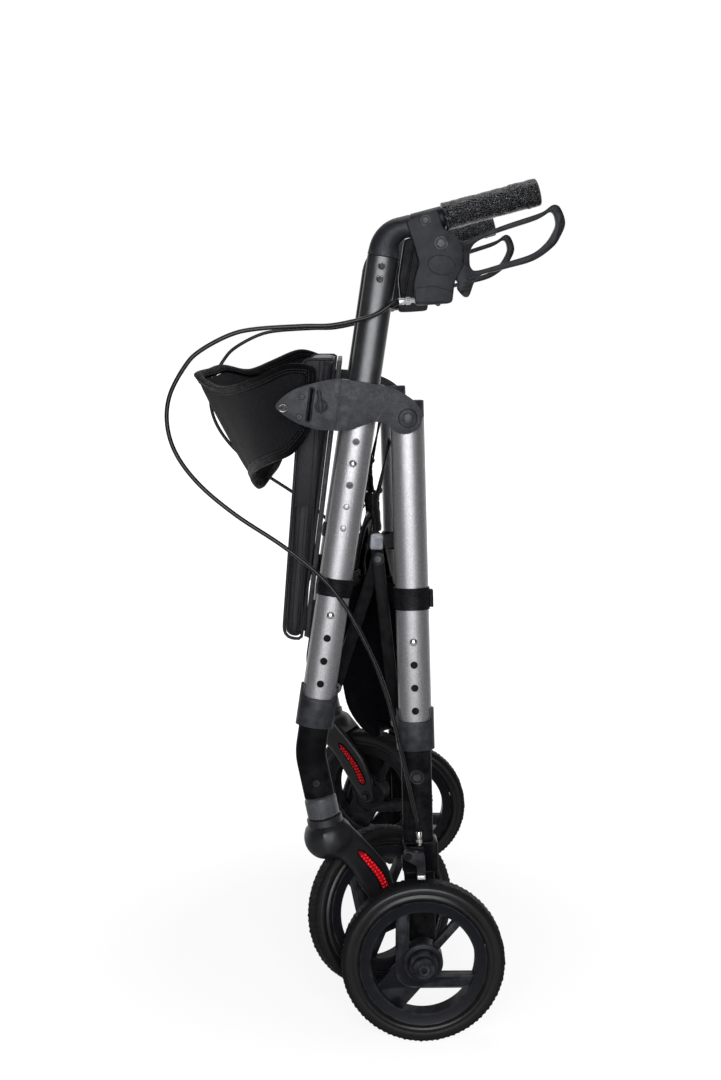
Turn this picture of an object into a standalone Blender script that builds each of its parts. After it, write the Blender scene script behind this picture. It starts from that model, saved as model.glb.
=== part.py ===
"""Four-wheel rollator, standing folded front to back, with its handles at middle height.

Metres, +Z up. +X points to the rear, where the handles reach, and -Y is the user's left side.
The origin is on the floor under the middle of the folded frame. The left pieces are modelled
and the right ones are their mirror images. Each moving body hangs on an empty at its joint.
"""
import math

import bmesh
import bpy
from mathutils import Matrix, Vector

# Clearances
GAP = 0.0003
SLIDE_GAP = 0.0003

# Layout of the folded frame
REAR_AXLE_X = 0.069
HALF_TRACK = 0.2515
REAR_REACH = 0.6253
REAR_LEAN = math.radians(1.68)
FRONT_LEAN = math.radians(8.36)
PIVOT_OFFSET = 0.0545

# Oval frame tubes: width along the frame, depth across it
TUBE_WIDTH = 0.0385
TUBE_DEPTH = 0.025
TUBE_WALL = 0.00125
INNER_WIDTH = 0.0354
INNER_DEPTH = 0.0219
INNER_WALL = 0.002
FRONT_TUBE_TOP = 0.036
FRONT_TUBE_LENGTH = 0.381
REAR_TUBE_TOP = 0.0175
REAR_TUBE_LENGTH = 0.3865
FRONT_TUBE_END = FRONT_TUBE_TOP - FRONT_TUBE_LENGTH
REAR_TUBE_END = REAR_TUBE_TOP - REAR_TUBE_LENGTH
CAP_PLUG = 0.0095
CAP_SHEET = 0.0018
TUBE_SIDES = 16
HOLE_SIDES = 8
ROUND_SIDES = 12

# Height stops: one button in the inner tube and a row of holes in the outer one
BUTTON_RADIUS = 0.004
BUTTON_PROUD = 0.0035
HANDLE_BUTTON = -0.0525
HANDLE_PITCH = 0.025
FRONT_BUTTON = FRONT_TUBE_END + 0.116
REAR_BUTTON = REAR_TUBE_END + 0.111
LEG_ABOVE_BUTTON = 0.020
LEG_PITCH = 0.027
LEG_STEPS = 3
DIMPLE_DEPTH = 0.0006
SPRING_LENGTH = 0.035
SPRING_WIDTH = 0.006
SPRING_SHEET = 0.001

# Handle tube, elbow and grip
HANDLE_TOP = 0.183
HANDLE_BOTTOM = -0.100
HANDLE_SCREWS = (0.1721, 0.1576)
ELBOW_CORNER = (0.0, 0.211)
ELBOW_ARC = 0.042
ELBOW_DEPTH = 0.024
ELBOW_RADIUS = 0.0125
BAR_RADIUS = 0.010
GRIP_START = (0.0608, 0.2369)
GRIP_LENGTH = 0.1107
GRIP_RADIUS = 0.01575
GRIP_ANGLE = math.atan2(0.0435, 0.1018)

# Brake body, lever and the cable's adjuster, in the front tube's frame
BODY_DEPTH = 0.028
COVER_DEPTH = 0.018
CLAMP_SCREW = (0.0406, 0.2289)
LEVER_PIVOT = (0.0617, 0.2069)
LEVER_EYE = 0.008
LEVER_PIN = 0.003
LEVER_DEPTH = 0.014
LEVER_SLOT = 0.015
LEVER_SCREW_HEAD = 0.0078
LEVER_SCREW_PROUD = 0.0022
CLAMP_SCREW_HEAD = 0.0063
ADJUSTER_START = (0.0428, 0.1406)
ADJUSTER_END = (0.0242, 0.1356)
ADJUSTER_RADIUS = 0.0045
ADJUSTER_START_Y = -0.0092
ADJUSTER_END_Y = -0.0138

# Fold bracket
PLATE_OUTER = -0.0173
PLATE_SHEET = 0.0045
LOW_PLATE_OUTER = -0.011
LOW_PLATE_INNER = -0.002
BLOCK_INNER = 0.018
BLOCK_REAR = 0.023
BACKREST_INSET = 0.0023
PIVOT_SHANK = 0.004
PIVOT_HEAD = 0.0065
WASHER_RADIUS = 0.0109
WASHER_SHEET = 0.003
SCREW_HEAD = 0.0045
SCREW_PROUD = 0.0018

# Collars at the outer tubes' lower ends, and the bag's bands round the tubes
COLLAR_WIDTH = 0.044
COLLAR_DEPTH = 0.030
COLLAR_LENGTH = 0.048
COLLAR_ABOVE = 0.031
COLLAR_DIP = 0.014
BAND_SHEET = 0.002
FRONT_BAND = (-0.2073, -0.1865)
REAR_BAND = (-0.2213, -0.1957)
FRONT_BAND_TIE = -0.0537
REAR_BAND_TIE = -0.0377

# Front leg, its bend and the caster's bush
LEG_TOP = FRONT_BUTTON + LEG_ABOVE_BUTTON
LEG_BEND = FRONT_TUBE_END - 0.050
LEG_ARC = 0.060
STEM_LEAN = math.radians(12.0)
STEM_RUN = 0.0519
BUSH_RADIUS = 0.01875
BUSH_LENGTH = 0.0245
STEM_RADIUS = 0.005
LEG_SCREW_ABOVE = 0.018

# Caster fork and wheels
CASTER_SWIVEL = math.radians(30.0)
CASTER_TRAIL = 0.048
CASTER_DROP = 0.130
FORK_HALF = 0.024
FORK_INSIDE = 0.0175
FORK_CLEARANCE = 0.098
FORK_END = 0.012
REFLECTOR_SHEET = 0.0012
WHEEL_RADIUS = 0.095
TYRE_WIDTH = 0.029
TYRE_SEAT = 0.074
TYRE_SHOULDER = WHEEL_RADIUS - 0.009
TYRE_EDGE = WHEEL_RADIUS - 0.0025
TYRE_EDGE_HALF = 0.0118
TREAD_HALF = 0.006
BEAD_HALF = 0.0125
RIM_INSIDE = 0.0603
RIM_INSIDE_HALF = 0.0105
SPOKE_WIDTH = 0.015
SPOKE_SHIFT = 0.014
SPOKE_HALF = 0.006
NARROW_SPOKE = 0.009
NARROW_HALF = 0.005
WEB_WIDTH = 0.040
WEB_OUTER = -0.002
TYRE_SIDES = 32
REAR_WHEEL_Y = -0.0385
AXLE_RADIUS = 0.004
HUB_SIDES = 12
HUB_RADIUS = 0.023
HUB_STEP = 0.016
HUB_CAP = 0.0125
HUB_NOSE = 0.028
HUB_BACK = 0.015

# Rear leg, brake housing and shoe, in the rear tube's frame
REAR_LEG_TOP = REAR_BUTTON + LEG_ABOVE_BUTTON
REAR_LEG_PAST_AXLE = 0.0165
REAR_CLIP = REAR_TUBE_END - 0.048
HOUSING_TOP = 0.1313 - REAR_REACH
HOUSING_STEP = HOUSING_TOP - 0.036
HOUSING_BOTTOM = HOUSING_STEP - 0.010
HOUSING_FRONT = -0.020
HOUSING_BACK = 0.022
HOUSING_TAPER = 0.002
SHELF_DEPTH = 0.017
HOUSING_INNER = 0.0155
HOUSING_OUTER = -0.0152
SHOE_PIVOT = (-0.014, HOUSING_TOP - 0.006)
SHOE_PIN = 0.003
SHOE_DEPTH = 0.012
SHOE_GAP = 0.002
PAD_SHEET = 0.004
ADJUSTER_HIGH = HOUSING_TOP + 0.015
ADJUSTER_Y = -0.0205

# Cross tubes in the collars, and the fold brace: its knuckle and tab are given from the fold pivot
FRONT_CROSS_ABOVE = 0.0215
REAR_CROSS_ABOVE = 0.0088
FRONT_LUG_REACH = 0.0194
REAR_LUG_REACH = 0.0216
BRACE_KNUCKLE = (-0.0327, -0.1666)
BRACE_TAB = (-0.0357, -0.1410)
LINK_WIDTH = 0.014
LINK_SHEET = 0.005
LINK_INNER_Y = HALF_TRACK - 0.035
LINK_SPACE = 0.001
LUG_SHEET = 0.004
LINK_PIN = 0.004
ROD_RADIUS = 0.007
CROSS_RADIUS = 0.0095

# Seat, from its hinge on the front tubes' centreline
SEAT_DROP = 0.235
SEAT_ROD = 0.008
SEAT_HALF = HALF_TRACK - 0.0415
SEAT_BOARD = 0.006
SEAT_EAR_Y = SEAT_HALF - 0.020
SEAT_EAR_SHEET = 0.008
SEAT_EAR_RADIUS = 0.013
SEAT_BOTTOM = -0.032
SEAT_TOP = 0.303
SEAT_TOP_FACE = -0.0558
SEAT_TOP_SLOPE = 0.0748
SEAT_UNDERSIDE = -0.0214
SEAT_UNDERSIDE_SLOPE = 0.1220
BOARD_INSET = 0.004
CUSHION_CROWN = 0.004
CUSHION_EDGE = 0.012
CUSHION_DRAWN = 0.006
CUSHION_SIDE = 0.008

# Soft pieces, given from the fold pivot
PAD_THICKNESS = 0.009
BAG_HALF = HALF_TRACK - 0.0515
BAG_TOP = -0.192
BAG_BOTTOM = -0.380
BAG_FRONT = -0.0607
BAG_BACK = -0.0387
BAG_FRONT_BELLY = 0.013
BAG_BACK_BELLY = 0.020
BAG_HEM_DRAWN = 0.012
BAG_FRONT_CREASE = 0.004
BAG_BACK_CREASE = 0.006
CABLE_RADIUS = 0.0025
CABLE_POINTS = 36
CABLE_LEAD = 0.006
CABLE_DROP = 0.479
STRAP_RADIUS = 0.0018
MIRROR = Matrix.Diagonal((1.0, -1.0, 1.0, 1.0))


# Frames of reference

def leaning(origin, lean):
    """Frame whose local Z leans to the rear by an angle."""
    return Matrix.Translation(origin) @ Matrix.Rotation(lean, 4, "Y")


PIVOT = Vector((REAR_AXLE_X - REAR_REACH * math.sin(REAR_LEAN), -HALF_TRACK,
                WHEEL_RADIUS + REAR_REACH * math.cos(REAR_LEAN)))
FRONT = leaning(PIVOT - Vector((PIVOT_OFFSET, 0.0, 0.0)), FRONT_LEAN)
REAR = leaning(PIVOT, -REAR_LEAN)
PIVOT_ON_PLATE = (PIVOT_OFFSET * math.cos(FRONT_LEAN), PIVOT_OFFSET * math.sin(FRONT_LEAN))
LEG_CORNER = FRONT @ Vector((0.0, 0.0, LEG_BEND))
STEM_DOWN = Vector((math.sin(STEM_LEAN), 0.0, -math.cos(STEM_LEAN)))
STEM_FOOT = LEG_CORNER + STEM_DOWN * (STEM_RUN + BUSH_LENGTH)
STEM = leaning(STEM_FOOT, -STEM_LEAN)
CASTER = STEM @ Matrix.Rotation(CASTER_SWIVEL, 4, "Z")
FRONT_WHEEL = CASTER @ Matrix.Translation((CASTER_TRAIL, 0.0, -CASTER_DROP))
REAR_WHEEL = Matrix.Translation((REAR_AXLE_X, -HALF_TRACK + REAR_WHEEL_Y, WHEEL_RADIUS))
WORLD = Matrix.Identity(4)


def front_centre_x(z):
    """X of the front tubes' centreline at a height."""
    return FRONT.translation.x + (z - FRONT.translation.z) * math.tan(FRONT_LEAN)


def from_pivot(point):
    """Point of the vertical plane, given from the fold pivot, as X and Z."""
    return (point[0] + PIVOT.x, point[1] + PIVOT.z)


SEAT_HINGE = (front_centre_x(PIVOT.z - SEAT_DROP), PIVOT.z - SEAT_DROP)
FRONT_CROSS = (FRONT @ Vector((0.0, 0.0, FRONT_TUBE_END + FRONT_CROSS_ABOVE))).xz
REAR_CROSS = (REAR @ Vector((0.0, 0.0, REAR_TUBE_END + REAR_CROSS_ABOVE))).xz
BRACE_FRONT = (FRONT_CROSS[0] + FRONT_LUG_REACH, FRONT_CROSS[1])
BRACE_REAR = (REAR_CROSS[0] - REAR_LUG_REACH, REAR_CROSS[1])


# Scene

def clear_scene():
    for item in list(bpy.data.objects):
        bpy.data.objects.remove(item, do_unlink=True)


def new_collection(name):
    collection = bpy.data.collections.new(name)
    bpy.context.scene.collection.children.link(collection)
    return collection


def finish(name, colour, roughness, metallic=0.0):
    """Plain material of one colour."""
    material = bpy.data.materials.get(name)
    if material is None:
        material = bpy.data.materials.new(name)
        material.use_nodes = True
        surface = material.node_tree.nodes["Principled BSDF"]
        surface.inputs["Base Color"].default_value = (*colour, 1.0)
        surface.inputs["Roughness"].default_value = roughness
        surface.inputs["Metallic"].default_value = metallic
        material.diffuse_color = (*colour, 1.0)
    return material


def pewter():
    return finish("pewter_metallic", (0.36, 0.35, 0.34), 0.35, 0.8)


def black_metal():
    return finish("black_coated_metal", (0.012, 0.012, 0.013), 0.35, 0.3)


def grey_rod():
    return finish("grey_coated_rod", (0.17, 0.18, 0.19), 0.4, 0.5)


def plastic():
    return finish("charcoal_plastic", (0.022, 0.022, 0.024), 0.5)


def rubber():
    return finish("black_rubber", (0.016, 0.016, 0.017), 0.65)


def grip_rubber():
    return finish("glossy_grip_rubber", (0.014, 0.014, 0.015), 0.3)


def steel():
    return finish("bright_steel", (0.62, 0.60, 0.57), 0.3, 1.0)


def leatherette():
    return finish("black_leatherette", (0.015, 0.015, 0.016), 0.45)


def fabric():
    return finish("black_nylon", (0.016, 0.016, 0.018), 0.8)


def neoprene():
    return finish("charcoal_neoprene", (0.045, 0.045, 0.048), 0.9)


def cable_cover():
    return finish("black_cable_cover", (0.015, 0.015, 0.016), 0.4)


# Shapes as meshes in local coordinates

def to_mesh(shape):
    mesh = bpy.data.meshes.new("shape")
    shape.to_mesh(mesh)
    shape.free()
    return mesh


def closed_outward(mesh, weld=0.00001):
    """The same mesh with its seams welded and its faces pointing out."""
    shape = bmesh.new()
    shape.from_mesh(mesh)
    bmesh.ops.remove_doubles(shape, verts=shape.verts, dist=weld)
    bmesh.ops.recalc_face_normals(shape, faces=shape.faces)
    return to_mesh(shape)


def shown_mesh(item):
    """Mesh of an object as its modifiers leave it. The object is removed."""
    bpy.context.view_layer.update()
    graph = bpy.context.evaluated_depsgraph_get()
    mesh = bpy.data.meshes.new_from_object(item.evaluated_get(graph))
    bpy.data.objects.remove(item, do_unlink=True)
    return mesh


def on_bench(name, data):
    item = bpy.data.objects.new(name, data)
    item.hide_render = True
    item.display_type = "WIRE"
    BENCH.objects.link(item)
    return item


def moved(mesh, matrix):
    mesh.transform(matrix)
    return mesh


def mirrored(mesh):
    copy = mesh.copy()
    copy.transform(MIRROR)
    copy.flip_normals()
    return copy


def merge(*shapes):
    """Several closed bodies in one mesh, still separate."""
    joined = bmesh.new()
    for shape in shapes:
        joined.from_mesh(shape)
    return to_mesh(joined)


def boolean(mesh, other, operation):
    target = on_bench("target", mesh)
    tool = on_bench("cutter", other)
    modifier = target.modifiers.new("cut", "BOOLEAN")
    modifier.operation = operation
    modifier.object = tool
    result = shown_mesh(target)
    bpy.data.objects.remove(tool, do_unlink=True)
    return result


def cut(mesh, *cutters):
    for cutter in cutters:
        mesh = boolean(mesh, cutter, "DIFFERENCE")
    return mesh


def unite(mesh, *others):
    for other in others:
        mesh = boolean(mesh, other, "UNION")
    return mesh


def box(low, high):
    shape = bmesh.new()
    bmesh.ops.create_cube(shape, size=1.0)
    low, high = Vector(low), Vector(high)
    size = high - low
    place = Matrix.Translation((low + high) / 2) @ Matrix.Diagonal((*size, 1.0))
    return moved(to_mesh(shape), place)


def rod(radius, start, end, sides=ROUND_SIDES, end_radius=None):
    """Solid cylinder, or a cone, between two points."""
    start, end = Vector(start), Vector(end)
    run = end - start
    shape = bmesh.new()
    bmesh.ops.create_cone(shape, cap_ends=True, segments=sides, radius1=radius,
                          radius2=radius if end_radius is None else end_radius, depth=run.length)
    turn = run.to_track_quat("Z", "Y").to_matrix().to_4x4()
    return moved(to_mesh(shape), Matrix.Translation((start + end) / 2) @ turn)


def oval(width, depth, bottom, top, sides=TUBE_SIDES):
    """Upright solid of oval section."""
    shape = bmesh.new()
    bmesh.ops.create_cone(shape, cap_ends=True, segments=sides, radius1=0.5, radius2=0.5,
                          depth=1.0)
    place = Matrix.Translation((0.0, 0.0, (bottom + top) / 2))
    return moved(to_mesh(shape), place @ Matrix.Diagonal((width, depth, top - bottom, 1.0)))


def oval_tube(width, depth, wall, bottom, top):
    inside = oval(width - 2 * wall, depth - 2 * wall, bottom - 0.01, top + 0.01)
    return cut(oval(width, depth, bottom, top), inside)


def plate(outline, y_low, y_high):
    """Flat outline of X and Z, extruded along Y."""
    curve = bpy.data.curves.new("outline", "CURVE")
    curve.dimensions = "2D"
    curve.fill_mode = "BOTH"
    curve.extrude = (y_high - y_low) / 2
    spline = curve.splines.new("POLY")
    spline.points.add(len(outline) - 1)
    for point, (x, z) in zip(spline.points, outline):
        point.co = (x, z, 0.0, 1.0)
    spline.use_cyclic_u = True
    mesh = closed_outward(shown_mesh(on_bench("outline", curve)))
    turn = Matrix.Rotation(math.pi / 2, 4, "X")
    return moved(mesh, Matrix.Translation((0.0, (y_low + y_high) / 2, 0.0)) @ turn)


def arc(centre, radius, start, end, steps):
    """Points of an arc in the X Z plane, from one angle in degrees to another."""
    angles = [math.radians(start + (end - start) * k / steps) for k in range(steps + 1)]
    return [(centre[0] + radius * math.cos(a), centre[1] + radius * math.sin(a)) for a in angles]


def bar_outline(start, end, width, steps=5):
    """Outline of a flat link with round ends."""
    heading = math.degrees(math.atan2(end[1] - start[1], end[0] - start[0]))
    near = arc(start, width / 2, heading + 90, heading + 270, steps)
    return near + arc(end, width / 2, heading - 90, heading + 90, steps)


def bent_bar_outline(start, corner, end, width, steps=5):
    """Outline of a flat link that bends at a corner, with round ends."""
    first = math.atan2(corner[1] - start[1], corner[0] - start[0])
    second = math.atan2(end[1] - corner[1], end[0] - corner[0])
    middle = (first + second) / 2
    reach = width / 2 / math.cos((second - first) / 2)
    left = (corner[0] - reach * math.sin(middle), corner[1] + reach * math.cos(middle))
    right = (corner[0] + reach * math.sin(middle), corner[1] - reach * math.cos(middle))
    turn, far_turn = math.degrees(first), math.degrees(second)
    near = arc(start, width / 2, turn + 90, turn + 270, steps)
    far = arc(end, width / 2, far_turn - 90, far_turn + 90, steps)
    return near + [right] + far + [left]


def turned(profile, sides, closed=True):
    """Profile of radius and height, turned round the local Z axis."""
    mesh = bpy.data.meshes.new("profile")
    edges = [(k, k + 1) for k in range(len(profile) - 1)]
    if closed:
        edges.append((len(profile) - 1, 0))
    mesh.from_pydata([(radius, 0.0, height) for radius, height in profile], edges, [])
    item = on_bench("profile", mesh)
    screw = item.modifiers.new("turn", "SCREW")
    screw.angle = math.tau
    screw.steps = sides
    screw.render_steps = sides
    screw.use_merge_vertices = True
    screw.merge_threshold = 0.00001
    return closed_outward(shown_mesh(item))


def along_y(mesh):
    """Turned shape laid with its height along +Y."""
    return moved(mesh, Matrix.Rotation(-math.pi / 2, 4, "X"))


def wheel_ring(profile, sides=TYRE_SIDES):
    """Ring round the Y axis with a flat facet below, as far out as the profile says."""
    swell = 1.0 / math.cos(math.pi / sides)
    ring = turned([(radius * swell, y) for radius, y in profile], sides)
    return along_y(moved(ring, Matrix.Rotation(math.pi / sides, 4, "Z")))


def loft(rings, closed=False):
    """Skin through rings of points. Open lofts get a face on each end."""
    shape = bmesh.new()
    skins = [[shape.verts.new(point) for point in ring] for ring in rings]
    pairs = list(zip(skins, skins[1:]))
    if closed:
        pairs.append((skins[-1], skins[0]))
    else:
        shape.faces.new(skins[0])
        shape.faces.new(skins[-1])
    count = len(skins[0])
    for low, high in pairs:
        for k in range(count):
            following = (k + 1) % count
            shape.faces.new((low[k], low[following], high[following], high[k]))
    bmesh.ops.recalc_face_normals(shape, faces=shape.faces)
    return to_mesh(shape)


def section(at, heading, width, depth, sides=TUBE_SIDES):
    """Oval ring across a path of the X Z plane, at a point and a heading in radians."""
    across = Vector((math.sin(heading), 0.0, -math.cos(heading)))
    centre = Vector((at[0], 0.0, at[1]))
    ring = []
    for k in range(sides):
        angle = math.tau * k / sides
        ring.append(centre + across * (width / 2 * math.cos(angle))
                    + Vector((0.0, depth / 2 * math.sin(angle), 0.0)))
    return ring


def bend(corner, heading, turn, radius, steps):
    """Points and headings of an arc that rounds a corner, in radians."""
    tangent = radius * math.tan(abs(turn) / 2)
    start = (corner[0] - tangent * math.cos(heading), corner[1] - tangent * math.sin(heading))
    side = math.copysign(1.0, turn)
    centre = (start[0] - side * radius * math.sin(heading),
              start[1] + side * radius * math.cos(heading))
    stations = []
    for k in range(steps + 1):
        angle = heading + turn * k / steps
        stations.append(((centre[0] + side * radius * math.sin(angle),
                          centre[1] - side * radius * math.cos(angle)), angle))
    return stations


def wire(points, radius, resolution=2):
    """Round wire through points, with flat ends."""
    curve = bpy.data.curves.new("wire", "CURVE")
    curve.dimensions = "3D"
    curve.bevel_depth = radius
    curve.bevel_resolution = resolution
    curve.use_fill_caps = True
    spline = curve.splines.new("POLY")
    spline.points.add(len(points) - 1)
    for point, place in zip(spline.points, points):
        point.co = (*place, 1.0)
    return closed_outward(shown_mesh(on_bench("wire", curve)))


def smooth_route(route, count):
    """Evenly spread points of a smooth curve through a route's own points."""
    route = [Vector(point) for point in route]
    padded = [2 * route[0] - route[1], *route, 2 * route[-1] - route[-2]]
    dense = []
    for a, b, c, d in zip(padded, padded[1:], padded[2:], padded[3:]):
        for k in range(12):
            t = k / 12
            dense.append(0.5 * (2 * b + (c - a) * t + (2 * a - 5 * b + 4 * c - d) * t * t
                                + (3 * b - a - 3 * c + d) * t * t * t))
    dense.append(route[-1])
    reach = [0.0]
    for start, end in zip(dense, dense[1:]):
        reach.append(reach[-1] + (end - start).length)
    spread = []
    for k in range(count):
        target = reach[-1] * k / (count - 1)
        index = max(i for i in range(len(dense) - 1) if reach[i] <= target + 1e-9)
        span = reach[index + 1] - reach[index]
        spread.append(dense[index].lerp(dense[index + 1], (target - reach[index]) / span))
    return spread


def screw(at, head, proud, shank, length, sides=ROUND_SIDES):
    """Screw along Y: its head stands proud towards -Y and its shank reaches inward."""
    profile = [(0.0, -proud), (head * 0.8, -proud), (head, -proud * 0.6), (head, 0.0),
               (shank, 0.0), (shank, length), (0.0, length)]
    return moved(along_y(turned(profile, sides, closed=False)), Matrix.Translation(at))


def hole(at, radius, reach):
    """Cutter along Y for a round hole, centred on a point."""
    x, y, z = at
    return rod(radius, (x, y - reach, z), (x, y + reach, z))


# Placing

def add_body(name, parent, place):
    """Empty on a moving body's joint axis."""
    empty = bpy.data.objects.new(f"{name}_joint", None)
    empty.empty_display_size = 0.02
    PARTS.objects.link(empty)
    own = Matrix.Translation(place)
    if parent:
        empty.parent = BODIES[parent][0]
        empty.matrix_parent_inverse = BODIES[parent][1].inverted()
    empty.matrix_basis = own
    BODIES[name] = (empty, own)


def add_pair_of_bodies(name, parent, place):
    """Left and right bodies. A parent's name that ends in _ is itself a pair."""
    for side, matrix in (("l", WORLD), ("r", MIRROR)):
        owner = parent + side if parent.endswith("_") else parent
        add_body(f"{name}_{side}", owner, matrix @ Vector(place))


def add_piece(name, mesh, frame, body, material):
    item = bpy.data.objects.new(name, mesh)
    mesh.name = name
    mesh.materials.clear()
    mesh.materials.append(material)
    mesh.shade_smooth()
    mesh.set_sharp_from_angle(angle=math.radians(35))
    PARTS.objects.link(item)
    item.parent = BODIES[body][0]
    item.matrix_parent_inverse = BODIES[body][1].inverted()
    item.matrix_basis = frame


def add_pair(name, mesh, frame, body, material):
    """Left piece and its mirror image. A body's name that ends in _ is itself a pair."""
    twin = mirrored(mesh)
    owners = [body + side if body.endswith("_") else body for side in "lr"]
    add_piece(f"{name}_l", mesh, frame, owners[0], material)
    add_piece(f"{name}_r", twin, MIRROR @ frame @ MIRROR, owners[1], material)


def mirror_pair(mesh):
    """A left shape and its mirror image, still separate, in world coordinates."""
    return merge(mesh, mirrored(mesh))


# Bodies

def make_bodies():
    add_body("front_frame", None, (front_centre_x(0.0), 0.0, 0.0))
    pivot = Vector((PIVOT.x, 0.0, PIVOT.z))
    add_body("rear_frame", "front_frame", pivot)
    add_body("seat", "front_frame", (SEAT_HINGE[0], 0.0, SEAT_HINGE[1]))
    add_body("brace_front", "front_frame", (BRACE_FRONT[0], 0.0, BRACE_FRONT[1]))
    add_body("brace_rear", "rear_frame", (BRACE_REAR[0], 0.0, BRACE_REAR[1]))
    lever = FRONT @ Vector((LEVER_PIVOT[0], 0.0, LEVER_PIVOT[1]))
    shoe = REAR @ Vector((SHOE_PIVOT[0], REAR_WHEEL_Y, SHOE_PIVOT[1]))
    add_pair_of_bodies("handle", "front_frame", FRONT @ Vector((0.0, 0.0, 0.0)))
    add_pair_of_bodies("brake_lever", "handle_", lever)
    add_pair_of_bodies("handle_button", "handle_", FRONT @ Vector((0.0, 0.0, HANDLE_BUTTON)))
    add_pair_of_bodies("front_leg", "front_frame", FRONT @ Vector((0.0, 0.0, LEG_TOP)))
    add_pair_of_bodies("front_button", "front_leg_", FRONT @ Vector((0.0, 0.0, FRONT_BUTTON)))
    add_pair_of_bodies("caster", "front_leg_", STEM_FOOT)
    add_pair_of_bodies("front_wheel", "caster_", FRONT_WHEEL.translation)
    add_pair_of_bodies("rear_leg", "rear_frame", REAR @ Vector((0.0, 0.0, REAR_LEG_TOP)))
    add_pair_of_bodies("rear_button", "rear_leg_", REAR @ Vector((0.0, 0.0, REAR_BUTTON)))
    add_pair_of_bodies("rear_wheel", "rear_leg_", REAR_WHEEL.translation)
    add_pair_of_bodies("brake_shoe", "rear_leg_", shoe)


# Frame tubes

def tube_hole(z, radius=BUTTON_RADIUS + GAP):
    """Cutter through the outward wall of an outer or inner tube."""
    outside = -TUBE_DEPTH / 2 - 0.004
    return rod(radius, (0.0, outside, z), (0.0, -INNER_DEPTH / 4, z), HOLE_SIDES)


def make_front_tubes():
    tube = oval_tube(TUBE_WIDTH, TUBE_DEPTH, TUBE_WALL, FRONT_TUBE_END, FRONT_TUBE_TOP)
    upper = [HANDLE_BUTTON + HANDLE_PITCH * k for k in (-1, 0, 1)]
    lower = [FRONT_BUTTON - LEG_PITCH * k for k in range(LEG_STEPS + 1)]
    tube = cut(tube, merge(*[tube_hole(z) for z in upper + lower]))
    outside = -TUBE_DEPTH / 2 - 0.004
    floor = -TUBE_DEPTH / 2 + DIMPLE_DEPTH
    dimples = [rod(BUTTON_RADIUS, (0.0, outside, z), (0.0, floor, z), HOLE_SIDES)
               for z in (upper[0] - HANDLE_PITCH, upper[0] - 2 * HANDLE_PITCH)]
    add_pair("front_tube", cut(tube, merge(*dimples)), FRONT, "front_frame", pewter())


def make_rear_tubes():
    tube = oval_tube(TUBE_WIDTH, TUBE_DEPTH, TUBE_WALL, REAR_TUBE_END, REAR_TUBE_TOP)
    holes = [tube_hole(REAR_BUTTON - LEG_PITCH * k) for k in range(LEG_STEPS + 1)]
    holes.append(hole((0.0, 0.0, 0.0), PIVOT_SHANK + GAP, TUBE_DEPTH))
    add_pair("rear_tube", cut(tube, merge(*holes)), REAR, "rear_frame", pewter())


def make_tube_caps():
    plug = oval(TUBE_WIDTH - 2 * TUBE_WALL - 2 * GAP, TUBE_DEPTH - 2 * TUBE_WALL - 2 * GAP,
                REAR_TUBE_TOP - CAP_PLUG, REAR_TUBE_TOP + CAP_SHEET / 2)
    lid = oval(TUBE_WIDTH, TUBE_DEPTH, REAR_TUBE_TOP + GAP, REAR_TUBE_TOP + GAP + CAP_SHEET)
    add_pair("tube_cap", unite(lid, plug), REAR, "rear_frame", plastic())


def collar(tube_bottom):
    """Sleeve under an outer tube's end, with its outward lip dipping down."""
    top = tube_bottom + COLLAR_ABOVE
    top_lip = top - COLLAR_DIP
    body = oval(COLLAR_WIDTH, COLLAR_DEPTH, top - COLLAR_LENGTH, top)
    over_tube = oval(TUBE_WIDTH + 2 * GAP, TUBE_DEPTH + 2 * GAP, tube_bottom - GAP, top + 0.01)
    over_leg = oval(INNER_WIDTH + 2 * SLIDE_GAP, INNER_DEPTH + 2 * SLIDE_GAP,
                    top - COLLAR_LENGTH - 0.01, tube_bottom)
    dip_radius = COLLAR_DIP + 0.010
    dip = rod(dip_radius, (0.0, -COLLAR_DEPTH, top_lip + dip_radius),
              (0.0, -TUBE_DEPTH / 4, top_lip + dip_radius), 20)
    return cut(body, unite(over_tube, over_leg), dip)


def make_collars():
    add_pair("front_collar", collar(FRONT_TUBE_END), FRONT, "front_frame", plastic())
    add_pair("rear_collar", collar(REAR_TUBE_END), REAR, "rear_frame", plastic())


# Fold bracket

BRACKET_OUTLINE = [
    (-0.0957, -0.0020), (-0.0919, 0.0077), (-0.0783, 0.0206), (-0.0570, 0.0312),
    (-0.0277, 0.0400), (0.0162, 0.0402), (0.0335, 0.0382), (0.0491, 0.0331), (0.0613, 0.0257),
    (0.0690, 0.0149), (0.0694, 0.0024), (0.0630, -0.0061), (0.0530, -0.0107),
    (0.0418, -0.0093), (0.0337, -0.0039), (0.0269, -0.0015), (0.0165, -0.0019),
    (0.0066, -0.0068), (-0.0077, -0.0143), (-0.0243, -0.0182), (-0.0469, -0.0200),
    (-0.0685, -0.0163), (-0.0849, -0.0095)]
BRACKET_STEP = -0.0255
PLATE_SCREWS = ((-0.0874, -0.0015), (-0.0684, 0.0139), (-0.0680, -0.0089))
STRAP_SLOT = ((-0.0579, 0.0240), (-0.0569, -0.0107))
STRAP_SLOT_WIDTH = 0.003
BOSS = (-0.0451, 0.0070)
BOSS_RADIUS = 0.0076
BOSS_PROUD = 0.0012


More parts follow.
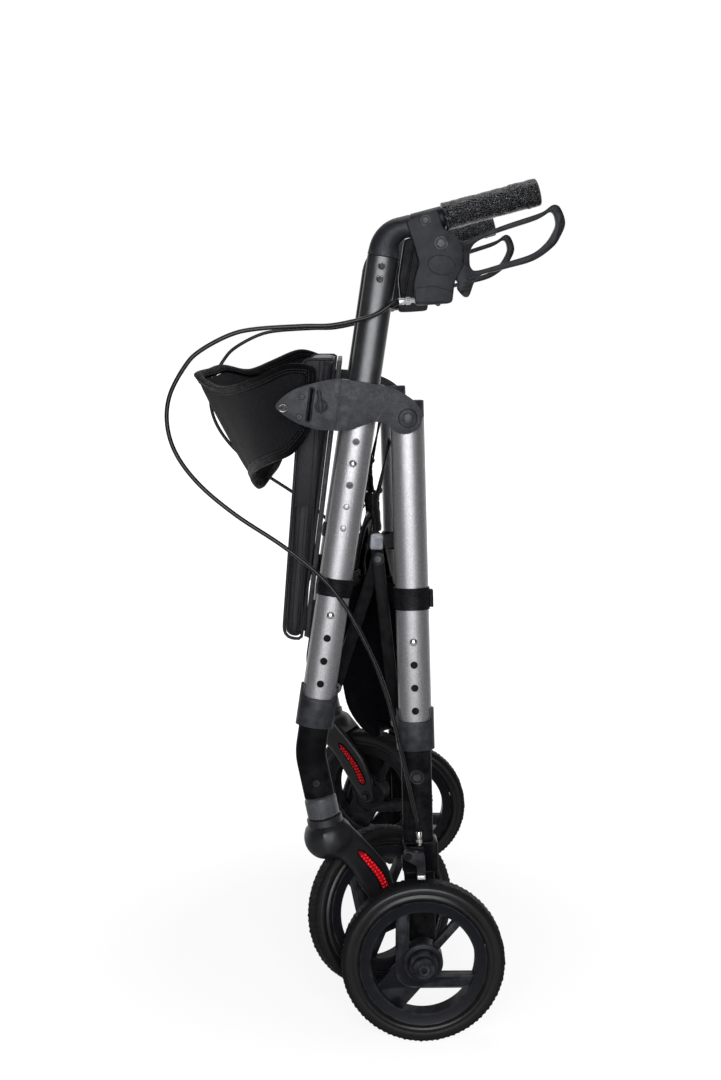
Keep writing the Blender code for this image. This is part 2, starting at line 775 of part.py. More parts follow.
def make_brackets():
    """Moulded bracket: a block round the tube's top, an outer plate behind and a lower one ahead."""
    body = plate(BRACKET_OUTLINE, PLATE_OUTER, BLOCK_INNER)
    behind = box((BLOCK_REAR, PLATE_OUTER + PLATE_SHEET, -0.1), (0.2, 0.1, 0.1))
    ahead = merge(box((-0.2, -0.1, -0.1), (BRACKET_STEP, LOW_PLATE_OUTER, 0.1)),
                  box((-0.2, LOW_PLATE_INNER, -0.1), (BRACKET_STEP, 0.1, 0.1)))
    lip = FRONT_TUBE_TOP + GAP
    tube_bore = oval(TUBE_WIDTH + 2 * GAP, TUBE_DEPTH + 2 * GAP, -0.05, lip)
    handle_bore = oval(INNER_WIDTH + 2 * SLIDE_GAP, INNER_DEPTH + 2 * SLIDE_GAP, 0.0, 0.06)
    slot = plate(bar_outline(*STRAP_SLOT, STRAP_SLOT_WIDTH, 2), -0.03, 0.03)
    pivot = hole((PIVOT_ON_PLATE[0], 0.0, PIVOT_ON_PLATE[1]), PIVOT_SHANK + GAP, 0.03)
    body = cut(body, behind, ahead, unite(tube_bore, handle_bore), merge(slot, pivot))
    boss = rod(BOSS_RADIUS, (BOSS[0], LOW_PLATE_OUTER - BOSS_PROUD, BOSS[1]),
               (BOSS[0], LOW_PLATE_OUTER + 0.002, BOSS[1]))
    heads = [rod(SCREW_HEAD, (x, LOW_PLATE_OUTER - SCREW_PROUD, z),
                 (x, LOW_PLATE_OUTER + 0.002, z), HOLE_SIDES) for x, z in PLATE_SCREWS]
    add_pair("bracket", unite(body, merge(boss, *heads)), FRONT, "front_frame", plastic())


def make_pivot_bolts():
    """Fold pivot: bolt, washer and nut, tightened into one piece."""
    x, z = PIVOT_ON_PLATE
    washer_face = PLATE_OUTER - GAP - WASHER_SHEET
    washer = rod(WASHER_RADIUS, (x, washer_face, z), (x, PLATE_OUTER - GAP, z), 16)
    inner_face = TUBE_DEPTH / 2 + GAP
    bolt = screw((x, washer_face + 0.0005, z), PIVOT_HEAD, 0.0045, PIVOT_SHANK,
                 inner_face + 0.009 - washer_face)
    nut = rod(PIVOT_HEAD, (x, inner_face, z), (x, inner_face + 0.006, z), 6)
    add_pair("pivot_bolt", unite(bolt, washer, nut), FRONT, "front_frame", steel())


# Handles

def inner_tube(bottom, top, button):
    tube = oval_tube(INNER_WIDTH, INNER_DEPTH, INNER_WALL, bottom, top)
    return cut(tube, tube_hole(button))


def make_handle_tubes():
    tube = inner_tube(HANDLE_BOTTOM, HANDLE_TOP, HANDLE_BUTTON)
    face = -INNER_DEPTH / 2
    heads = [rod(SCREW_HEAD, (0.0, face - SCREW_PROUD, z), (0.0, face + INNER_WALL / 2, z), HOLE_SIDES)
             for z in HANDLE_SCREWS]
    add_pair("handle_tube", unite(tube, merge(*heads)), FRONT, "handle_", black_metal())


def elbow_rings(extra, bar_extra, bar_end):
    """Rings from the plug in the tube, round the bend and out along the grip's bar."""
    plug_width = INNER_WIDTH - 2 * INNER_WALL - 2 * GAP
    plug_depth = INNER_DEPTH - 2 * INNER_WALL - 2 * GAP
    up = math.pi / 2
    rings = []
    if extra == 0.0:
        rings.append(section((0.0, HANDLE_TOP - 0.034), up, plug_width, plug_depth))
        rings.append(section((0.0, HANDLE_TOP + GAP), up, plug_width, plug_depth))
        rings.append(section((0.0, HANDLE_TOP + GAP), up, INNER_WIDTH, ELBOW_DEPTH))
    else:
        rings.append(section((0.0, HANDLE_TOP - 0.02), up, INNER_WIDTH + 2 * extra,
                             ELBOW_DEPTH + 2 * extra))
    arc_stations = bend(ELBOW_CORNER, up, GRIP_ANGLE - up, ELBOW_ARC * 0.66, 5)
    count = len(arc_stations)
    for k, (at, heading) in enumerate(arc_stations):
        share = (k + 1) / count
        width = INNER_WIDTH + (2 * ELBOW_RADIUS - INNER_WIDTH) * share + 2 * extra
        depth = ELBOW_DEPTH + (2 * ELBOW_RADIUS - ELBOW_DEPTH) * share + 2 * extra
        rings.append(section(at, heading, width, depth))
    end = (GRIP_START[0] - 0.036 * math.cos(GRIP_ANGLE), GRIP_START[1] - 0.036 * math.sin(GRIP_ANGLE))
    rings.append(section(end, GRIP_ANGLE, 2 * ELBOW_RADIUS + 2 * extra,
                         2 * ELBOW_RADIUS + 2 * extra))
    bar = 2 * BAR_RADIUS + 2 * bar_extra
    rings.append(section(end, GRIP_ANGLE, bar, bar))
    rings.append(section(bar_end, GRIP_ANGLE, bar, bar))
    return rings


def grip_point(reach):
    return (GRIP_START[0] + reach * math.cos(GRIP_ANGLE),
            GRIP_START[1] + reach * math.sin(GRIP_ANGLE))


def make_elbows():
    elbow = loft(elbow_rings(0.0, 0.0, grip_point(GRIP_LENGTH - 0.004)))
    add_pair("handle_elbow", elbow, FRONT, "handle_", plastic())


def make_grips():
    """Rubber sleeve on the elbow's bar, closed at its far end."""
    start, end = grip_point(0.0), grip_point(GRIP_LENGTH)
    bore_end = grip_point(GRIP_LENGTH - 0.003)
    before = grip_point(-0.01)
    sleeve = rod(GRIP_RADIUS, (start[0], 0.0, start[1]), (end[0], 0.0, end[1]), 24)
    bore = rod(BAR_RADIUS + GAP, (before[0], 0.0, before[1]), (bore_end[0], 0.0, bore_end[1]), 20)
    add_pair("grip", cut(sleeve, bore), FRONT, "handle_", grip_rubber())


BODY_OUTLINE = [
    (0.0189, 0.2251), (0.0524, 0.2444), (0.0622, 0.2242), (0.0793, 0.2161), (0.0875, 0.2067),
    (0.0907, 0.1858), (0.0862, 0.1746), (0.0835, 0.1664), (0.0845, 0.1430), (0.0618, 0.1379),
    (0.0441, 0.1348), (0.0386, 0.1486), (0.0378, 0.1653), (0.0405, 0.1814), (0.0304, 0.2034)]
COVER_OUTLINE = [(0.0205, 0.2050), (0.0400, 0.2150), (0.0450, 0.1400), (0.0267, 0.1370),
                 (0.0205, 0.1600)]
SLOT_OUTLINE = [(0.0520, 0.1200), (0.1250, 0.1200), (0.1250, 0.2400), (0.0950, 0.2320),
                (0.0520, 0.2170)]


def make_brake_bodies():
    """Clamp on the bar, with its screws, the lever's pin and the cable's adjuster."""
    half = BODY_DEPTH / 2
    body = unite(plate(BODY_OUTLINE, -half, half),
                 plate(COVER_OUTLINE, -COVER_DEPTH / 2, COVER_DEPTH / 2))
    room = loft(elbow_rings(GAP, GAP, grip_point(0.02)))
    slot = plate(SLOT_OUTLINE, -LEVER_SLOT / 2, LEVER_SLOT / 2)
    body = cut(body, room, slot)
    start = (ADJUSTER_START[0], ADJUSTER_START_Y, ADJUSTER_START[1])
    end = (ADJUSTER_END[0], ADJUSTER_END_Y, ADJUSTER_END[1])
    lever_pin = rod(LEVER_PIN, (LEVER_PIVOT[0], -half + 0.001, LEVER_PIVOT[1]),
                    (LEVER_PIVOT[0], half - 0.001, LEVER_PIVOT[1]))
    lever_head = rod(LEVER_SCREW_HEAD, (LEVER_PIVOT[0], -half - LEVER_SCREW_PROUD, LEVER_PIVOT[1]),
                     (LEVER_PIVOT[0], -half + 0.001, LEVER_PIVOT[1]))
    clamp_head = rod(CLAMP_SCREW_HEAD, (CLAMP_SCREW[0], -half - SCREW_PROUD, CLAMP_SCREW[1]),
                     (CLAMP_SCREW[0], -half + 0.001, CLAMP_SCREW[1]))
    adjuster = rod(ADJUSTER_RADIUS, start, end)
    body = unite(body, lever_pin, merge(lever_head, clamp_head), adjuster)
    add_pair("brake_body", body, FRONT, "handle_", plastic())


LEVER_OUTLINE = [
    (0.0878, 0.2128), (0.1253, 0.2355), (0.1622, 0.2541), (0.1725, 0.2605), (0.1805, 0.2680),
    (0.1888, 0.2658), (0.1970, 0.2502), (0.1939, 0.2340), (0.1870, 0.2206), (0.1680, 0.2031),
    (0.1382, 0.1897), (0.1094, 0.1764), (0.1016, 0.1526), (0.0893, 0.1587), (0.0881, 0.1665)]
LEVER_ROOM = [
    (0.0965, 0.2055), (0.1040, 0.2165), (0.1270, 0.2300), (0.1650, 0.2490), (0.1800, 0.2600),
    (0.1870, 0.2490), (0.1850, 0.2370), (0.1785, 0.2240), (0.1650, 0.2105), (0.1365, 0.1965),
    (0.1080, 0.1835), (0.1000, 0.1850), (0.0970, 0.1930)]


def make_brake_levers():
    """Loop lever on its screw, with the room for the fingers inside the loop."""
    root = arc(LEVER_PIVOT, LEVER_EYE, 100, 250, 5)
    loop = plate(LEVER_OUTLINE + root[::-1], -LEVER_DEPTH / 2, LEVER_DEPTH / 2)
    room = plate(LEVER_ROOM, -0.02, 0.02)
    eye = hole((LEVER_PIVOT[0], 0.0, LEVER_PIVOT[1]), LEVER_PIN + GAP, 0.03)
    add_pair("brake_lever", cut(loop, room, eye), FRONT, "brake_lever_", plastic())


# Spring buttons of the height stops

def make_buttons():
    face = -TUBE_DEPTH / 2 - BUTTON_PROUD
    inside = -INNER_DEPTH / 2 + INNER_WALL + 0.0012
    for name, frame, z in (("handle_button", FRONT, HANDLE_BUTTON),
                           ("front_leg_button", FRONT, FRONT_BUTTON),
                           ("rear_leg_button", REAR, REAR_BUTTON)):
        peg = rod(BUTTON_RADIUS, (0.0, face, z), (0.0, inside + SPRING_SHEET, z), HOLE_SIDES)
        leaf = box((-SPRING_WIDTH / 2, inside, z + 0.005 - SPRING_LENGTH),
                   (SPRING_WIDTH / 2, inside + SPRING_SHEET * 1.2, z + 0.005))
        body = {"handle_button": "handle_button_", "front_leg_button": "front_button_",
                "rear_leg_button": "rear_button_"}[name]
        add_pair(name, unite(peg, leaf), frame, body, steel())


# Front legs

def leg_rings(width, depth, top):
    """Rings down the straight run and round the bend to the bush."""
    down = -math.pi / 2
    turn = STEM_LEAN + FRONT_LEAN
    rings = [section((0.0, top), down, width, depth)]
    for at, heading in bend((0.0, LEG_BEND), down, turn, LEG_ARC, 3):
        rings.append(section(at, heading, width, depth))
    end = (STEM_RUN * math.sin(turn), LEG_BEND - STEM_RUN * math.cos(turn))
    rings.append(section(end, down + turn, width, depth))
    return rings


def make_front_legs():
    """Bent inner tube with the caster's bush moulded on its foot, and the bush's screw."""
    outside = leg_rings(INNER_WIDTH, INNER_DEPTH, LEG_TOP)
    inside = leg_rings(INNER_WIDTH - 2 * INNER_WALL, INNER_DEPTH - 2 * INNER_WALL, LEG_TOP)
    leg = loft(outside + inside[::-1], closed=True)
    stem = FRONT.inverted() @ STEM
    bush = rod(BUSH_RADIUS, (0.0, 0.0, 0.0), (0.0, 0.0, BUSH_LENGTH + 0.001), 20)
    bore = rod(STEM_RADIUS + GAP, (0.0, 0.0, -0.01), (0.0, 0.0, BUSH_LENGTH + 0.004))
    face = -INNER_DEPTH / 2
    screw_z = BUSH_LENGTH + LEG_SCREW_ABOVE
    head = rod(SCREW_HEAD, (0.0, face - SCREW_PROUD, screw_z),
               (0.0, face + INNER_WALL / 2, screw_z), HOLE_SIDES)
    leg = cut(leg, tube_hole(FRONT_BUTTON))
    leg = unite(leg, moved(bush, stem), moved(head, stem))
    add_pair("front_leg", cut(leg, moved(bore, stem)), FRONT, "front_leg_", black_metal())


# Casters

FORK_LOWER = [(-0.0200, -0.0368), (-0.0020, -0.0500), (0.0100, -0.0695), (0.0190, -0.0940)]
FORK_UPPER = [(0.0610, -0.1050), (0.0565, -0.0762), (0.0452, -0.0534), (0.0272, -0.0248),
              (0.0150, -0.0110)]
REFLECTOR = [(0.0250, -0.0495), (0.0330, -0.0505), (0.0500, -0.0800), (0.0562, -0.1060),
             (0.0475, -0.1070), (0.0425, -0.0850)]


def make_forks():
    """Fork with its stem pin, the wheel's axle bolt and a reflector on each arm."""
    x, z = CASTER_TRAIL, -CASTER_DROP
    outline = FORK_LOWER + arc((x, z), FORK_END, 215, 380, 7) + FORK_UPPER
    arms = plate(outline + [(-0.0190, -0.0115)], -FORK_HALF, FORK_HALF)
    crown = turned([(0.0, -GAP), (0.0208, -GAP), (0.0208, -0.0080), (0.0265, -0.0145),
                    (0.0290, -0.0250), (0.0270, -0.0360), (0.0180, -0.0470), (0.0, -0.0520)],
                   TUBE_SIDES, closed=False)
    room = rod(FORK_CLEARANCE, (x, -FORK_INSIDE, z), (x, FORK_INSIDE, z), TYRE_SIDES)
    body = cut(unite(arms, crown), room)
    stem_pin = rod(STEM_RADIUS, (0.0, 0.0, -0.010), (0.0, 0.0, BUSH_LENGTH - 0.001))
    axle = hole((x, 0.0, z), AXLE_RADIUS, FORK_HALF + 0.005)
    heads = merge(rod(0.0075, (x, -FORK_HALF - 0.004, z), (x, -FORK_HALF + 0.001, z)),
                  rod(0.0070, (x, FORK_HALF - 0.001, z), (x, FORK_HALF + 0.004, z), 6))
    strips = merge(plate(REFLECTOR, -FORK_HALF - REFLECTOR_SHEET, -FORK_HALF + 0.001),
                   plate(REFLECTOR, FORK_HALF - 0.001, FORK_HALF + REFLECTOR_SHEET))
    body = unite(body, stem_pin, axle, heads, strips)
    add_pair("caster_fork", body, CASTER, "caster_", plastic())


# Wheels

def tyre():
    half = TYRE_WIDTH / 2
    return wheel_ring([(TYRE_SEAT, -BEAD_HALF), (TYRE_SHOULDER, -half), (TYRE_EDGE, -TYRE_EDGE_HALF),
                       (WHEEL_RADIUS, -TREAD_HALF), (WHEEL_RADIUS, TREAD_HALF),
                       (TYRE_EDGE, TYRE_EDGE_HALF), (TYRE_SHOULDER, half), (TYRE_SEAT, BEAD_HALF)])


def rim_ring():
    seat = TYRE_SEAT - GAP
    half = BEAD_HALF - GAP
    return wheel_ring([(RIM_INSIDE, -RIM_INSIDE_HALF), (seat, -half), (seat, half),
                       (RIM_INSIDE, RIM_INSIDE_HALF)])


def spoke(heading, start, end, width, y_low, y_high, shift=0.0):
    """Flat spoke from one radius to another, shifted sideways from the hub's centre."""
    outline = [(start, shift - width / 2), (end, shift - width / 2),
               (end, shift + width / 2), (start, shift + width / 2)]
    turn = Matrix.Rotation(-math.radians(heading), 4, "Y")
    return moved(plate(outline, y_low, y_high), turn)


def rim(hub_profile):
    """Rim ring, four unlike spokes and the hub, in one casting."""
    hub = along_y(turned(hub_profile, HUB_SIDES, closed=False))
    reach = (RIM_INSIDE + TYRE_SEAT) / 2
    start = HUB_RADIUS / 2
    past_corner = -SPOKE_SHIFT - SPOKE_WIDTH / 2 + 0.001
    spokes = [spoke(90, past_corner, reach, SPOKE_WIDTH, -SPOKE_HALF, SPOKE_HALF, SPOKE_SHIFT),
              spoke(0, past_corner, reach, SPOKE_WIDTH, -SPOKE_HALF, SPOKE_HALF, -SPOKE_SHIFT),
              spoke(49, start, reach, NARROW_SPOKE, -NARROW_HALF, NARROW_HALF),
              spoke(229, start, reach, WEB_WIDTH, WEB_OUTER, NARROW_HALF)]
    body = unite(rim_ring(), hub, *spokes)
    return cut(body, hole((0.0, 0.0, 0.0), AXLE_RADIUS + GAP, 0.05))


def make_wheels():
    rear_hub = [(0.0, -HUB_NOSE), (HUB_CAP, -HUB_NOSE), (HUB_CAP, 0.008 - HUB_NOSE),
                (HUB_STEP, 0.008 - HUB_NOSE), (HUB_STEP, -0.0120), (HUB_RADIUS, -0.0110),
                (HUB_RADIUS, 0.0100), (HUB_STEP, HUB_BACK), (0.0, HUB_BACK)]
    side = FORK_INSIDE - GAP
    front_hub = [(0.0, -side), (HUB_CAP, -side), (HUB_STEP, -0.0120), (HUB_RADIUS, -0.0100),
                 (HUB_RADIUS, 0.0100), (HUB_STEP, 0.0120), (HUB_CAP, side), (0.0, side)]
    add_pair("front_tyre", tyre(), FRONT_WHEEL, "front_wheel_", rubber())
    add_pair("front_rim", rim(front_hub), FRONT_WHEEL, "front_wheel_", plastic())
    add_pair("rear_tyre", tyre(), REAR_WHEEL, "rear_wheel_", rubber())
    add_pair("rear_rim", rim(rear_hub), REAR_WHEEL, "rear_wheel_", plastic())


# Rear legs, brake housings and shoes

def make_rear_legs():
    """Inner tube with its foot plug, the wheel's axle bolt with spacer and nut, and a clip bolt."""
    bottom = -REAR_REACH - REAR_LEG_PAST_AXLE
    leg = inner_tube(bottom, REAR_LEG_TOP, REAR_BUTTON)
    z = -REAR_REACH
    face = -INNER_DEPTH / 2
    foot = oval(INNER_WIDTH, INNER_DEPTH, bottom - 0.002, bottom + 0.001)
    nose = REAR_WHEEL_Y - HUB_NOSE - GAP
    axle = rod(AXLE_RADIUS, (0.0, nose - 0.001, z), (0.0, -face + 0.008, z))
    head = rod(0.0075, (0.0, nose - 0.004, z), (0.0, nose, z))
    nut = rod(0.0070, (0.0, -face - 0.001, z), (0.0, -face + 0.006, z), 6)
    spacer = rod(0.0085, (0.0, REAR_WHEEL_Y + HUB_BACK + GAP, z), (0.0, face + 0.001, z))
    clip = rod(0.0085, (0.0, face - 0.003, REAR_CLIP), (0.0, face + INNER_WALL / 2, REAR_CLIP))
    leg = unite(leg, foot, axle, merge(head, nut, spacer, clip))
    add_pair("rear_leg", leg, REAR, "rear_leg_", black_metal())


def make_brake_housings():
    """Clamp round the leg with the shoe's pin and the cable's adjuster."""
    upper = box((HOUSING_FRONT, HOUSING_OUTER, HOUSING_STEP),
                (HOUSING_BACK, HOUSING_INNER, HOUSING_TOP))
    lower = box((HOUSING_FRONT + HOUSING_TAPER, HOUSING_OUTER, HOUSING_BOTTOM),
                (HOUSING_BACK - 2.5 * HOUSING_TAPER, HOUSING_INNER, HOUSING_STEP + 0.001))
    room = oval(INNER_WIDTH + 2 * GAP, INNER_DEPTH + 2 * GAP, HOUSING_BOTTOM - 0.01,
                HOUSING_TOP + 0.01)
    shelf = box((HOUSING_FRONT, ADJUSTER_Y - 0.0065, HOUSING_TOP - SHELF_DEPTH),
                (0.006, HOUSING_OUTER + 0.002, HOUSING_TOP))
    body = cut(unite(upper, lower, shelf), room)
    adjuster = rod(ADJUSTER_RADIUS, (0.0, ADJUSTER_Y, HOUSING_TOP - 0.002),
                   (0.0, ADJUSTER_Y, ADJUSTER_HIGH))
    reach = REAR_WHEEL_Y - SHOE_DEPTH / 2 - GAP
    pin = rod(SHOE_PIN, (SHOE_PIVOT[0], reach - 0.001, SHOE_PIVOT[1]),
              (SHOE_PIVOT[0], HOUSING_OUTER + 0.001, SHOE_PIVOT[1]))
    head = rod(0.0055, (SHOE_PIVOT[0], reach - 0.003, SHOE_PIVOT[1]),
               (SHOE_PIVOT[0], reach, SHOE_PIVOT[1]))
    add_pair("brake_housing", unite(body, adjuster, pin, head), REAR, "rear_leg_", plastic())


def make_brake_shoes():
    """Arm on the housing's pin, with its pad above the tyre."""
    tread = (WHEEL_RADIUS * 2 - REAR.translation.z) / math.cos(REAR_LEAN)
    pad_low = tread + SHOE_GAP
    pad_top = pad_low + PAD_SHEET
    half = SHOE_DEPTH / 2
    root = arc(SHOE_PIVOT, 0.0065, 60, 250, 6)
    outline = [(0.0040, pad_top + GAP), (0.0050, SHOE_PIVOT[1] - 0.002)] + root + [
        (-0.0040, pad_top + GAP)]
    arm = plate(outline, REAR_WHEEL_Y - half, REAR_WHEEL_Y + half)
    pad = box((-0.0055, REAR_WHEEL_Y - half, pad_low), (0.0055, REAR_WHEEL_Y + half, pad_top + 0.001))
    eye = hole((SHOE_PIVOT[0], REAR_WHEEL_Y, SHOE_PIVOT[1]), SHOE_PIN + GAP, 0.02)
    add_pair("brake_shoe", cut(unite(arm, pad), eye), REAR, "brake_shoe_", steel())


# Cross tubes and fold brace

def cross_tube(at, radius, half):
    x, z = at
    return rod(radius, (x, -half, z), (x, half, z))


def lug(at, tube, y_outer, y_pin):
    """Flat lug from a cross tube to a brace pin, with the pin, on the left side."""
    flat = plate(bar_outline(tube, at, LINK_WIDTH), -y_outer, -y_outer + LUG_SHEET)
    pin = rod(LINK_PIN, (at[0], -y_outer + 0.001, at[1]), (at[0], -y_pin, at[1]))
    head = rod(0.0065, (at[0], -y_outer - 0.003, at[1]), (at[0], -y_outer + 0.001, at[1]))
    return unite(flat, pin, head)


def make_cross_tubes():
    """Seat rod, and front and rear cross tubes with the lugs and pins of the brace."""
    between_tubes = HALF_TRACK - TUBE_DEPTH / 2 - GAP
    add_piece("seat_rod", cross_tube(SEAT_HINGE, SEAT_ROD, between_tubes), WORLD, "front_frame",
              black_metal())
    half = HALF_TRACK - COLLAR_DEPTH / 2 - GAP
    rear_inner = LINK_INNER_Y + LINK_SHEET + LINK_SPACE
    front_outer = LINK_INNER_Y + LINK_SHEET + GAP + LUG_SHEET
    rear_outer = rear_inner + LINK_SHEET + GAP + LUG_SHEET
    front_lug = lug(BRACE_FRONT, FRONT_CROSS, front_outer, LINK_INNER_Y - 0.003)
    rear_lug = lug(BRACE_REAR, REAR_CROSS, rear_outer, rear_inner - 0.003)
    front = unite(cross_tube(FRONT_CROSS, CROSS_RADIUS, half), mirror_pair(front_lug))
    rear = unite(cross_tube(REAR_CROSS, CROSS_RADIUS, half), mirror_pair(rear_lug))
    add_piece("front_crossbar", front, WORLD, "front_frame", black_metal())
    add_piece("rear_crossbar", rear, WORLD, "rear_frame", black_metal())


def make_brace():
    """Front links welded to the rod between their knuckles, and the two rear links."""
    knuckle, tab = from_pivot(BRACE_KNUCKLE), from_pivot(BRACE_TAB)
    outer = -LINK_INNER_Y - LINK_SHEET
    link = plate(bent_bar_outline(BRACE_FRONT, knuckle, tab, LINK_WIDTH), outer, -LINK_INNER_Y)
    link = cut(link, hole((BRACE_FRONT[0], outer, BRACE_FRONT[1]), LINK_PIN + GAP, 0.02))
    brace = unite(mirror_pair(link), cross_tube(knuckle, ROD_RADIUS, LINK_INNER_Y + 0.001))
    add_piece("brace_links_front", brace, WORLD, "brace_front", grey_rod())
    inner = outer - LINK_SPACE
    outer = inner - LINK_SHEET
    link = plate(bar_outline(BRACE_REAR, knuckle, LINK_WIDTH), outer, inner)
    link = cut(link, hole((BRACE_REAR[0], outer, BRACE_REAR[1]), LINK_PIN + GAP, 0.02))
    head = rod(0.0065, (knuckle[0], outer - 0.003, knuckle[1]),
               (knuckle[0], outer + 0.001, knuckle[1]))
    add_pair("brace_link_rear", unite(link, head), WORLD, "brace_rear", black_metal())


# Seat

def seat_faces(z):
    """X of the seat's top face and of its underside, from the hinge, at a height from it."""
    return SEAT_TOP_FACE + SEAT_TOP_SLOPE * z, SEAT_UNDERSIDE + SEAT_UNDERSIDE_SLOPE * z


def make_seat_board():
    ends = (SEAT_BOTTOM + BOARD_INSET, SEAT_TOP - BOARD_INSET)
    outline = []
    for z in ends:
        outline.append((seat_faces(z)[1], z))
    for z in reversed(ends):
        outline.append((seat_faces(z)[1] - SEAT_BOARD, z))
    board = plate(outline, -SEAT_HALF + BOARD_INSET, SEAT_HALF - BOARD_INSET)
    ears = []
    for y in (-SEAT_EAR_Y, SEAT_EAR_Y):
        ear = [(seat_faces(-SEAT_EAR_RADIUS)[1] - 0.002, -SEAT_EAR_RADIUS), (0.0, -SEAT_EAR_RADIUS)]
        ear += arc((0.0, 0.0), SEAT_EAR_RADIUS, -67.5, 67.5, 6)
        ear += [(0.0, SEAT_EAR_RADIUS), (seat_faces(SEAT_EAR_RADIUS)[1] - 0.002, SEAT_EAR_RADIUS)]
        ears.append(plate(ear, y - SEAT_EAR_SHEET / 2, y + SEAT_EAR_SHEET / 2))
    board = unite(board, *ears)
    rod_room = hole((0.0, 0.0, 0.0), SEAT_ROD + GAP, SEAT_HALF)
    frame = Matrix.Translation((SEAT_HINGE[0], 0.0, SEAT_HINGE[1]))
    add_piece("seat_board", cut(board, rod_room), frame, "seat", plastic())


def make_seat_cushion():
    """Padded top with a crown, and with its sides and ends drawn in."""
    stations = (-1.0, -0.975, -0.9, -0.6, 0.0, 0.6, 0.9, 0.975, 1.0)
    rings = []
    for share in stations:
        drawn = max(0.0, (abs(share) - 0.9) / 0.1)
        crown = CUSHION_CROWN * (1.0 - share * share)
        low, high = SEAT_BOTTOM + CUSHION_DRAWN * drawn, SEAT_TOP - CUSHION_DRAWN * drawn
        ring = []
        for k in range(9):
            height = low + (high - low) * k / 8
            back = seat_faces(height)[1] - SEAT_BOARD - GAP
            ring.append((back, share * SEAT_HALF, height))
        for k in range(8, -1, -1):
            height = low + (high - low) * k / 8
            edge = min(k, 8 - k)
            inset = CUSHION_EDGE * (1.0, 0.15, 0.0, 0.0, 0.0)[edge] + CUSHION_SIDE * drawn
            face = seat_faces(height)[0] + CUSHION_CROWN + inset - crown
            ring.append((face, share * SEAT_HALF, height))
        rings.append(ring)
    frame = Matrix.Translation((SEAT_HINGE[0], 0.0, SEAT_HINGE[1]))
    add_piece("seat_cushion", loft(rings), frame, "seat", leatherette())


# Soft pieces

BACKREST = [
    (-1.0, -0.1027, 0.0590, -0.1087, -0.0150), (-0.943, -0.1339, 0.0610, -0.1310, -0.0430),
    (-0.823, -0.1666, 0.0470, -0.1532, -0.0550), (-0.642, -0.1954, 0.0363, -0.1709, -0.0660),
    (-0.401, -0.2218, 0.0308, -0.1817, -0.0760), (-0.201, -0.2429, 0.0342, -0.1865, -0.0830),
    (0.000, -0.2635, 0.0457, -0.1877, -0.0970), (0.201, -0.2509, 0.0500, -0.1811, -0.1113),
    (0.401, -0.2375, 0.0542, -0.1727, -0.1023), (0.642, -0.2056, 0.0462, -0.1641, -0.0925),
    (0.823, -0.1710, 0.0589, -0.1532, -0.0650), (0.943, -0.1344, 0.0735, -0.1307, -0.0480),
    (1.0, -0.1027, 0.0650, -0.1087, -0.0150)]


def make_backrest():
    """Soft band that bows forward from bracket to bracket: top and foot lines, bulging between."""
    middles = []
    half = HALF_TRACK - BACKREST_INSET
    for share, top_x, top_z, foot_x, foot_z in BACKREST:
        top = Vector((PIVOT.x + top_x, share * half, PIVOT.z + top_z))
        foot = Vector((PIVOT.x + foot_x, share * half, PIVOT.z + foot_z))
        middles.append((top, foot))
    rings = []
    for index, (top, foot) in enumerate(middles):
        before = middles[max(index - 1, 0)]
        after = middles[min(index + 1, len(middles) - 1)]
        run = (after[0] + after[1] - before[0] - before[1]).normalized()
        outward = run.cross(top - foot).normalized()
        if outward.x > 0:
            outward.negate()
        ring = []
        for share, swell in ((0.0, 0.25), (0.06, 0.8), (0.35, 1.0), (0.65, 1.0), (0.94, 0.8),
                             (1.0, 0.25)):
            ring.append(foot.lerp(top, share) + outward * PAD_THICKNESS / 2 * swell)
        for share, swell in ((1.0, 0.25), (0.94, 0.8), (0.65, 1.0), (0.35, 1.0), (0.06, 0.8),
                             (0.0, 0.25)):
            ring.append(foot.lerp(top, share) - outward * PAD_THICKNESS / 2 * swell)
        rings.append(ring)
    add_piece("backrest_pad", loft(rings), WORLD, "front_frame", neoprene())


def bag_ring(y, count=10):
    """Section of the folded bag across the frame: its creases deepen downwards."""
    share = y / BAG_HALF
    ring = []
    for k in range(count + 1):
        fall = k / count
        z = PIVOT.z + BAG_TOP + (BAG_BOTTOM - BAG_TOP) * fall
        belly = math.sin(math.pi * min(1.0, fall * 1.15 + 0.05))
        crease = BAG_FRONT_CREASE * fall * math.sin(7.0 * share + 5.0 * fall)
        ring.append((PIVOT.x + BAG_FRONT - BAG_FRONT_BELLY * belly + crease, y, z))
    for k in range(count, -1, -1):
        fall = k / count
        z = PIVOT.z + BAG_TOP + (BAG_BOTTOM - BAG_TOP) * fall
        belly = math.sin(math.pi * min(1.0, fall * 1.05))
        crease = BAG_BACK_CREASE * fall * math.sin(9.0 * share + 8.0 * fall)
        back = BAG_BACK + BAG_BACK_BELLY * belly - BAG_HEM_DRAWN * fall * fall
        ring.append((PIVOT.x + back + crease, y, z))
    return ring


def bag_band(frame, low, high, bag_x):
    """Fabric band round a frame tube and the strap that ties it to the bag."""
    inside = oval(TUBE_WIDTH + 2 * GAP, TUBE_DEPTH + 2 * GAP, low - 0.01, high + 0.01)
    outside = oval(TUBE_WIDTH + 2 * GAP + 2 * BAND_SHEET, TUBE_DEPTH + 2 * GAP + 2 * BAND_SHEET,
                   low, high)
    band = moved(cut(outside, inside), frame)
    middle = frame @ Vector((0.0, TUBE_DEPTH / 2 + GAP + BAND_SHEET * 0.7, (low + high) / 2))
    height = (high - low) * 0.45
    across = Vector((0.0, 0.0, height))
    thick = Vector((BAND_SHEET, 0.0, 0.0))
    foot = Vector((PIVOT.x + bag_x, -BAG_HALF + 0.012, middle.z))
    corners = ((-1, -1), (1, -1), (1, 1), (-1, 1))
    rings = [[at + thick * a + across * b for a, b in corners]
             for at in (middle, foot)]
    return unite(band, loft(rings))


